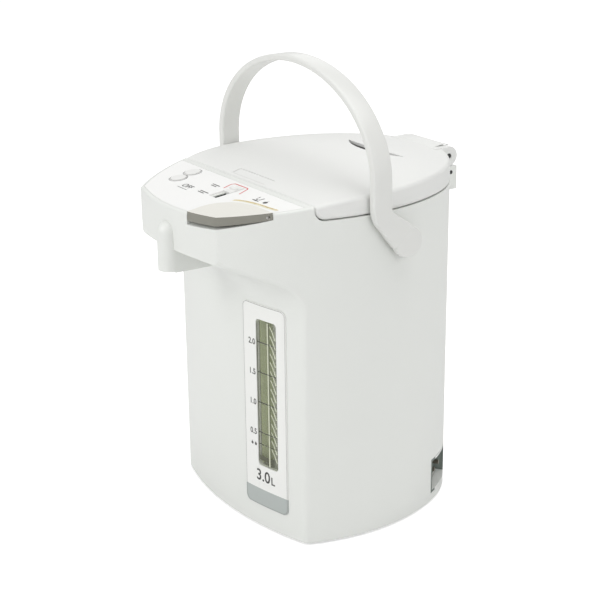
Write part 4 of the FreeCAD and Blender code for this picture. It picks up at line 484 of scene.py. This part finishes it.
# Handle: half a strap is drawn out from the crown of the arch down to the hub, then mirrored
STRAP_FRONT, STRAP_BACK, STRAP_OUT, STRAP_THICK = -11.6, 6.1, 118.3, 7.5
SPRING_Z, ARCH_RISE, ARCH_STEPS = 300.0, 83.5, 30
STRAIGHT, KINK_TURN, KINK_STEPS, KINK_STEP = 19.5, 46.0, 8, 1.7
HUB_Y, HUB_Z, HUB_RADIUS = 22.5, 249.5, 13.0
PIN_RADIUS, PIN_LENGTH, PIN_INSET = 3.9, 7, 3
SPREAD = ((0.42, 1.22), (0.36, 1.12))  # share of the way to the hub, and growth in width there
STRAP_BEVEL, HUB_BEVEL, HANDLE_BEVEL_FROM = 1.9, 1.6, math.radians(40)
strap_y = (STRAP_FRONT + STRAP_BACK) / 2
strap_middle = STRAP_OUT - STRAP_THICK / 2
start()
bpy.ops.mesh.primitive_plane_add(size=1, location=(0, strap_y * MM, (SPRING_Z + strap_middle) * MM),
                                 rotation=LYING_ACROSS)
strap = bpy.context.object
strap.scale = (STRAP_THICK * MM, (STRAP_BACK - STRAP_FRONT) * MM, 1)
bpy.ops.object.transform_apply(location=True, rotation=True, scale=True)
bpy.ops.object.mode_set(mode="EDIT")
bpy.ops.mesh.select_all(action="SELECT")
bpy.ops.mesh.spin(steps=ARCH_STEPS, angle=math.pi / 2, center=(0, 0, SPRING_Z * MM), axis=(0, 1, 0))
bpy.ops.mesh.select_all(action="SELECT")
bpy.ops.transform.resize(value=(1, 1, ARCH_RISE / STRAP_OUT), center_override=(0, 0, SPRING_Z * MM))
pick(lambda co: co.z < (SPRING_Z + 0.1) * MM)
push((0, 0, -STRAIGHT * MM))
bend = math.radians(KINK_TURN) / KINK_STEPS
station = Vector((strap_middle * MM, strap_y * MM, (SPRING_Z - STRAIGHT) * MM))
aim = 0.0
for index in range(KINK_STEPS):
    aim = aim + bend
    step = Vector((0, math.sin(aim - bend / 2), -math.cos(aim - bend / 2))) * KINK_STEP * MM
    push(step)
    station = station + step
    turn(bend, "X", station)
reach = Vector((0, HUB_Y * MM - station.y, HUB_Z * MM - station.z))
for share, growth in SPREAD:
    push(reach * share)
    station = station + reach * share
    bpy.ops.transform.resize(value=(1, growth, growth), center_override=station)
pick(lambda co: abs(co.x) < 0.00001)
bpy.ops.mesh.delete(type="ONLY_FACE")
strap = finished("carry_handle", [FINISH["handle_white"]], "handle")
face_outwards(strap)
modify(strap, "BEVEL", width=STRAP_BEVEL * MM, segments=4, limit_method="ANGLE",
       angle_limit=HANDLE_BEVEL_FROM)
hub = peg(72, HUB_RADIUS, STRAP_THICK - 0.1, (strap_middle - 0.05, HUB_Y, HUB_Z))
bpy.ops.object.transform_apply(location=True, rotation=True, scale=True)
modify(hub, "BEVEL", width=HUB_BEVEL * MM, segments=4, limit_method="ANGLE",
       angle_limit=HANDLE_BEVEL_FROM)
pin = peg(48, PIN_RADIUS, PIN_LENGTH, (STRAP_OUT - STRAP_THICK - PIN_INSET, HUB_Y, HUB_Z))
bpy.ops.object.transform_apply(location=True, rotation=True, scale=True)
hub.select_set(True)
pin.select_set(True)
strap.select_set(True)
bpy.context.view_layer.objects.active = strap
bpy.ops.object.join()
modify(strap, "MIRROR", use_axis=(True, False, False), merge_threshold=MIRROR_GAP)
face_outwards(strap)
bpy.ops.object.shade_smooth_by_angle(angle=ROUND_SHARP)
strap.data.materials.clear()
strap.data.materials.append(FINISH["handle_white"])
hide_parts("handle")

# Pour lever: pale top, and on its skirt a darker copy of the same grey as painted shade
LEVER_BEVEL, TOP_LEAN = 2.4, 0.3
lever = reworked("pour_lever_cap", "pour_lever", [FINISH["lever_grey"], LEVER_SIDE_SHADE], "pour_lever",
                 LEVER_BEVEL)
# Faces that do not face up take the darker copy: painted shade
for face in lever.data.polygons:
    face.material_index = 0 if face.normal.z > TOP_LEAN else 1
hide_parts("pour_lever")

# Label sheet with its grey foot band
BAND_TOP = 36.0
FINE_DISSOLVE = 0.05  # degrees
label = reworked("label_sheet", "label_plate", [FINISH["label_white"], BAND_GREY], "root", 0,
                 FINE_DISSOLVE)
start()
label.select_set(True)
bpy.context.view_layer.objects.active = label
bpy.ops.object.mode_set(mode="EDIT")
bpy.ops.mesh.select_all(action="SELECT")
bpy.ops.mesh.bisect(plane_co=(0, 0, BAND_TOP * MM), plane_no=(0, 0, 1))
bpy.ops.object.mode_set(mode="OBJECT")
for face in label.data.polygons:
    face.material_index = 1 if face.center.z < BAND_TOP * MM else 0
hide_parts("label_plate")

# Printed scale: places across the front and heights, in millimetres
SCALE_MARKS = (("2.0", 166.0), ("1.5", 140.0), ("1.0", 113.7), ("0.5", 87.3))
SCALE_LEFT, SCALE_RIGHT, NUMBER_X, NUMBER_DROP, NUMBER_SIZE = 46.2, 68.2, 40.2, 1.4, 7.0
DASH_COUNT, DASH_FIRST, DASH_PITCH, DASH_LENGTH, DASH_HEIGHT = 6, 46.6, 3.7, 2.4, 76.7
REFILL_DROPS = (("left", 38.2), ("right", 42.6))
for litres, height in SCALE_MARKS:
    mark = litres.replace(".", "_")
    ribbon("scale_line_" + mark, [(SCALE_LEFT, height), (SCALE_RIGHT, height)], 0.8, INK_GREY, "window", 10)
    letters("scale_number_" + mark, litres, NUMBER_X, height - NUMBER_DROP, NUMBER_SIZE, INK_GREY, "label")
for index in range(DASH_COUNT):
    left = DASH_FIRST + index * DASH_PITCH
    ribbon(f"refill_dash_{index}", [(left, DASH_HEIGHT), (left + DASH_LENGTH, DASH_HEIGHT)], 0.7, INK_GREY,
           "window", 2)
for side, across in REFILL_DROPS:
    drop_print("refill_drop_" + side, across, 75.0, 1.3, INK_GREY, "label")
letters("volume_number", "3.0", 51.0, 48.0, 14.0, INK_GREY, "label", 0.2)
letters("volume_letter", "L", 62.6, 46.6, 9.5, INK_GREY, "label", 0.2)
LABEL_EDGE = [(33.6, 197.4), (31.2, 196.2), (29.7, 193.8), (29.7, 26.2), (31.2, 23.2), (33.6, 21.7),
              (74.4, 21.7), (76.8, 22.9), (78.3, 25.2), (78.3, 193.8), (76.8, 196.2), (74.4, 197.4),
              (33.6, 197.4)]
ribbon("label_edge", LABEL_EDGE, 0.35, INK_PALE, "label", 8)

# Ribbed light guide, drawn on the window: slanting ribs on the right, a painted highlight stripe down the
# tube, and painted shade lines at its edges
GUIDE_TOP, GUIDE_FOOT = 184.0, 59.0
RIB_COUNT, RIB_PITCH = 15, 7.6
RIB_ROUTE = ((61.6, 0.0), (64.6, -4.6), (67.6, -10.8))
for index in range(RIB_COUNT):
    height = GUIDE_TOP - 2 - index * RIB_PITCH
    ribbon(f"guide_rib_{index}", [(x, height + drop) for x, drop in RIB_ROUTE], 0.95, RIB_PALE_AND_HIGHLIGHT, "window", 3)
# Painted highlight: pale stripe down the level tube
ribbon("guide_highlight_stripe", [(58.9, GUIDE_TOP), (58.9, GUIDE_FOOT)], 1.3, RIB_PALE_AND_HIGHLIGHT, "window", 12)
# Painted shade: dark lines at the channel's left wall and beside the tube's highlight
ribbon("guide_shade_left", [(46.5, GUIDE_TOP - 2), (46.5, GUIDE_FOOT + 2)], 1.0, GUIDE_DARK_AND_SHADE, "window", 12)
ribbon("guide_shade_middle", [(60.4, GUIDE_TOP), (60.4, GUIDE_FOOT)], 0.7, GUIDE_DARK_AND_SHADE, "window", 12)
ribbon("guide_water_line", [(47.4, 64.5), (58.0, 64.5)], 4.2, GUIDE_DARK_AND_SHADE, "window", 4)

# Channel behind the gauge window, open to the front, with the level tube inside it
CHANNEL_LOW, CHANNEL_HIGH, CHANNEL_WALL = 58.2, 184.9, 0.3
CHANNEL_ROUTE = [(46.3, -73.3), (46.3, -65.0), (46.3, -57.4), (57.0, -57.4), (68.1, -57.4), (68.1, -69.4)]
channel_height = CHANNEL_HIGH - CHANNEL_LOW
start()
bpy.ops.mesh.primitive_plane_add(size=channel_height * MM, rotation=(math.pi / 2, 0, 0),
                                 location=(0, 0, (CHANNEL_HIGH + CHANNEL_LOW) / 2 * MM))
bpy.ops.object.transform_apply(location=True, rotation=True, scale=True)
bpy.ops.object.mode_set(mode="EDIT")
pick(lambda co: co.x > 0)
bpy.ops.mesh.delete(type="VERT")
bpy.ops.mesh.select_all(action="SELECT")
bpy.ops.transform.translate(value=((CHANNEL_ROUTE[0][0] + channel_height / 2) * MM,
                                   CHANNEL_ROUTE[0][1] * MM, 0))
for before, after in zip(CHANNEL_ROUTE, CHANNEL_ROUTE[1:]):
    push(((after[0] - before[0]) * MM, (after[1] - before[1]) * MM, 0))
channel = finished("gauge_channel", [FINISH["gauge_olive"]], "root")
modify(channel, "SOLIDIFY", thickness=CHANNEL_WALL * MM, offset=0)
face_outwards(channel)
modify(channel, "BEVEL", width=0.1 * MM, segments=2, limit_method="ANGLE", angle_limit=SHEET_BEVEL_FROM)

# Inlet socket: grey inside, with its outer rim and sill in the body's white
INLET_AIM = Vector((0.7705, 0.6374, 0))
RIM_REACH, SILL_TOP, BACK_CENTRE = 98.0, 14, Vector((0, 26.57 * MM, 0))
RIM_LEAN, SILL_LEAN = 0.8, 0.7
inlet = reworked("inlet_case", "inlet_socket", [FINISH["socket_grey"], FINISH["white_shell"]], "root",
                 0, FINE_DISSOLVE)
for face in inlet.data.polygons:
    reach = (face.center - BACK_CENTRE).dot(INLET_AIM)
    on_rim = abs(face.normal.dot(INLET_AIM)) > RIM_LEAN and reach > RIM_REACH * MM
    on_sill = face.normal.z > SILL_LEAN and face.center.z < SILL_TOP * MM
    face.material_index = 1 if on_rim or on_sill else 0
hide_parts("inlet_socket")

# Screw holes on the outer faces of the hinge ears, drawn as shallow dark discs: painted shade inside the
# holes
HINGE_HOLES = (
    ("upper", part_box("hinge_pin")[1][0] / MM + 0.1, 129.0, 287.0, 2.2, "lid"),
    ("lower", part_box("hinge_bracket")[1][0] / MM, 131.2, 272.6, 1.7, "root"),
)
HOLE_VERTICES, HOLE_DEPTH, HOLE_SINK, HOLE_RIM, HOLE_DISH = 32, 0.5, 0.15, 0.5, 0.06
for side, side_name in ((1, "right"), (-1, "left")):
    for hole, face_x, along, height, radius, body in HINGE_HOLES:
        peg(HOLE_VERTICES, radius, HOLE_DEPTH, (side * (face_x - HOLE_SINK), along, height))
        bpy.ops.object.mode_set(mode="EDIT")
        pick(lambda co: co.z * side > 0)
        bpy.ops.mesh.inset(thickness=HOLE_RIM * MM)
        bpy.ops.transform.translate(value=(-HOLE_DISH * MM * side, 0, 0))
        # Dark disc as painted shade of the hole
        finished(f"hinge_hole_shade_{hole}_{side_name}", [FINISH["vent_dark"]], body)

# Hood of the lid over the hinge knuckle, bent round the hinge line
HOOD_HALF, HOOD_WALL = 24.4, 0.5
HOOD_ROUTE = [(116.5, 294.5), (119.5, 295.2), (124.0, 295.9), (127.0, 296.25), (129.0, 296.35),
              (131.0, 296.1), (133.0, 295.4), (134.6, 294.4)]
start()
bpy.ops.mesh.primitive_plane_add(size=2 * HOOD_HALF * MM, location=(0, 0, 0))
bpy.ops.object.mode_set(mode="EDIT")
pick(lambda co: co.y > 0)
bpy.ops.mesh.delete(type="VERT")
bpy.ops.mesh.select_all(action="SELECT")
bpy.ops.transform.translate(value=(0, (HOOD_ROUTE[0][0] + HOOD_HALF) * MM, HOOD_ROUTE[0][1] * MM))
for before, after in zip(HOOD_ROUTE, HOOD_ROUTE[1:]):
    push((0, (after[0] - before[0]) * MM, (after[1] - before[1]) * MM))
hood = finished("hinge_hood", [FINISH["lid_white"]], "lid")
modify(hood, "SOLIDIFY", thickness=HOOD_WALL * MM, offset=0)
face_outwards(hood)
modify(hood, "BEVEL", width=0.2 * MM, segments=2, limit_method="ANGLE", angle_limit=SHEET_BEVEL_FROM)
bpy.ops.object.shade_smooth_by_angle(angle=ROUND_SHARP)

# Tongue inside the spout joint, seen as a fine line round the nozzle
TONGUE_RADIUS, TONGUE_HEIGHT, TONGUE_WALL = 9.15, 1.6, 0.5
TONGUE_Y, TONGUE_Z = -128.0, 250.0
start()
bpy.ops.mesh.primitive_cylinder_add(vertices=64, radius=TONGUE_RADIUS * MM, depth=TONGUE_HEIGHT * MM,
                                    end_fill_type="NOTHING", location=(0, TONGUE_Y * MM, TONGUE_Z * MM))
bpy.ops.object.mode_set(mode="EDIT")
bpy.ops.mesh.select_all(action="SELECT")
bpy.ops.mesh.subdivide(number_cuts=1)
tongue = finished("spout_tongue", [FINISH["white_shell"]], "root")
modify(tongue, "SOLIDIFY", thickness=TONGUE_WALL * MM, offset=0)
face_outwards(tongue)

# Prints on the control panel, in millimetres across it
GOLD_ROUTE = [(34.0, -86.9), (38.6, -84.3), (44.2, -82.5), (51.2, -80.9), (58.5, -79.9), (65.4, -79.3),
              (72.4, -79.0), (78.2, -78.4), (84.0, -77.7)]
BRACKET_ROUTE = [(1.2, -77.0), (-1.6, -69.0), (-1.6, -67.2), (-0.6, -65.6), (1.0, -65.1), (17.8, -64.9),
                 (19.6, -65.4), (20.8, -66.8), (25.2, -76.8)]
KEY_CENTRES = (("front", -54.0, -88.0), ("back", -57.5, -72.5))
CUP_ROUTE = [(45.8, -69.6), (46.9, -74.4), (51.1, -74.4), (52.2, -69.6)]
PANEL_DASHES = ((-10.0, 2.5, -92.0), (-10.0, -1.0, -94.4), (-16.0, -5.0, -77.0), (-14.5, -6.5, -79.4))
ribbon("pour_arc_glow", [(x, y - 1.0) for x, y in GOLD_ROUTE], 2.6, INK_GLOW, "panel", 1)
ribbon("pour_arc_line", GOLD_ROUTE, 1.6, INK_GOLD, "panel", 1)
ribbon("lock_bracket", BRACKET_ROUTE, 1.1, INK_RED, "panel", 1)
for name, x, y in KEY_CENTRES:
    disc_print("key_ring_" + name, x, y, 8.1, 7.5, INK_PALE, "panel")
letters("key_word_off", "OFF", -28.0, -94.0, 8.0, INK_GREY, "panel")
ribbon("key_word_line", [(-35.5, -99.2), (-20.5, -99.2)], 0.6, INK_GREY, "panel", 3)
disc_print("cup_saucer", 49.0, -76.4, 4.6, 0, INK_GREY, "panel", (1, 0.16, 1))
ribbon("cup_bowl", CUP_ROUTE, 1.2, INK_GREY, "panel", 1)
drop_print("cup_drop", 60.4, -74.4, 2.1, INK_GREY, "panel")
for index, (left, right, along) in enumerate(PANEL_DASHES):
    ribbon(f"panel_dash_{index}", [(left, along), (right, along)], 1.1, INK_GREY, "panel", 2)

# Two faint embossed lines across the front of the lid, drawn darker than the lid: painted shade of the
# relief
LID_MARKS = ((-28.0, 24.0, -52.6), (-25.0, 21.0, -50.0))
for index, (left, right, along) in enumerate(LID_MARKS):
    ribbon(f"lid_front_emboss_shade_{index}", [(left, along), (right, along)], 0.7, LID_EMBOSS_SHADE, "lid", 10, "lid")


# Stage: floor, soft lamps and the camera of the photograph

WORLD_LIGHT, FLOOR_GLOW = 0.55, 0.50
LAMPS = (
    ("front_softbox", (-0.3, -2.0, 1.3), (0, 0, 0.15), 1.4, 17),
    ("side_softbox", (2.0, 0.3, 1.0), (0, 0, 0.15), 1.2, 6.5),
    ("top_softbox", (0.2, 0.2, 2.0), (0, 0, 0.2), 1.6, 13),
    ("back_softbox", (-1.6, 1.6, 1.2), (0, 0, 0.2), 1.2, 3),
)
CAMERA_PLACE, CAMERA_AIM = Vector((1.0790, -0.7013, 0.6046)), Vector((-0.797, 0.514, -0.317))
CAMERA_ROLL, CAMERA_LENS, SENSOR_WIDTH, CAMERA_FAR = math.radians(-0.74), 95.87, 36.0, 50.0


def seen_directly(tree):
    """One where the camera looks, straight or through a clear surface."""
    path = tree.nodes.new("ShaderNodeLightPath")
    return math_node(tree, "MAXIMUM", path.outputs["Is Camera Ray"], path.outputs["Is Transmission Ray"])


def set_world():
    """Soft light all round, and plain white where the camera sees past the pot."""
    world = bpy.data.worlds.new("studio")
    bpy.context.scene.world = world
    world.use_nodes = True
    tree = world.node_tree
    soft = tree.nodes["Background"]
    soft.inputs["Color"].default_value = (1.0, 1.0, 1.0, 1)
    soft.inputs["Strength"].default_value = WORLD_LIGHT
    white = tree.nodes.new("ShaderNodeBackground")
    white.inputs["Color"].default_value = (1, 1, 1, 1)
    white.inputs["Strength"].default_value = 1.0
    mix = tree.nodes.new("ShaderNodeMixShader")
    tree.links.new(seen_directly(tree), mix.inputs["Fac"])
    tree.links.new(soft.outputs["Background"], mix.inputs[1])
    tree.links.new(white.outputs["Background"], mix.inputs[2])
    tree.links.new(mix.outputs["Shader"], tree.nodes["World Output"].inputs["Surface"])


def make_floor():
    """Wide pale floor that reads as white."""
    bpy.ops.object.select_all(action="DESELECT")
    bpy.ops.mesh.primitive_plane_add(size=80.0, location=(0, 0, 0))
    floor = bpy.context.object
    floor.name = "floor"
    material, tree, shader = blank_material("pale_floor")
    shader.inputs["Base Color"].default_value = (0.90, 0.90, 0.90, 1)
    shader.inputs["Roughness"].default_value = 0.9
    shader.inputs["Emission Color"].default_value = (1, 1, 1, 1)
    glow = math_node(tree, "MULTIPLY", seen_directly(tree), FLOOR_GLOW)
    tree.links.new(glow, shader.inputs["Emission Strength"])
    floor.data.materials.append(material)


def lamp(name, place, target, size, power):
    """Square soft lamp aimed at a target."""
    data = bpy.data.lights.new(name, "AREA")
    data.shape = "SQUARE"
    data.size = size
    data.energy = power
    light = bpy.data.objects.new(name, data)
    bpy.context.collection.objects.link(light)
    light.location = place
    light.rotation_euler = (Vector(target) - Vector(place)).to_track_quat("-Z", "Y").to_euler()


def set_camera():
    """Camera fitted to the photograph, with its small roll."""
    forward = CAMERA_AIM.normalized()
    level_right = forward.cross(Vector((0, 0, 1))).normalized()
    level_up = level_right.cross(forward)
    right = level_right * math.cos(CAMERA_ROLL) + level_up * math.sin(CAMERA_ROLL)
    up = level_up * math.cos(CAMERA_ROLL) - level_right * math.sin(CAMERA_ROLL)
    facing = Matrix((right, up, -forward)).transposed()
    data = bpy.data.cameras.new("photo_camera")
    data.lens = CAMERA_LENS
    data.sensor_width = SENSOR_WIDTH
    data.clip_end = CAMERA_FAR
    camera = bpy.data.objects.new("photo_camera", data)
    bpy.context.collection.objects.link(camera)
    camera.matrix_world = Matrix.Translation(CAMERA_PLACE) @ facing.to_4x4()
    bpy.context.scene.camera = camera


set_world()
make_floor()
for settings in LAMPS:
    lamp(*settings)
set_camera()
bpy.context.scene.view_settings.view_transform = "Standard"
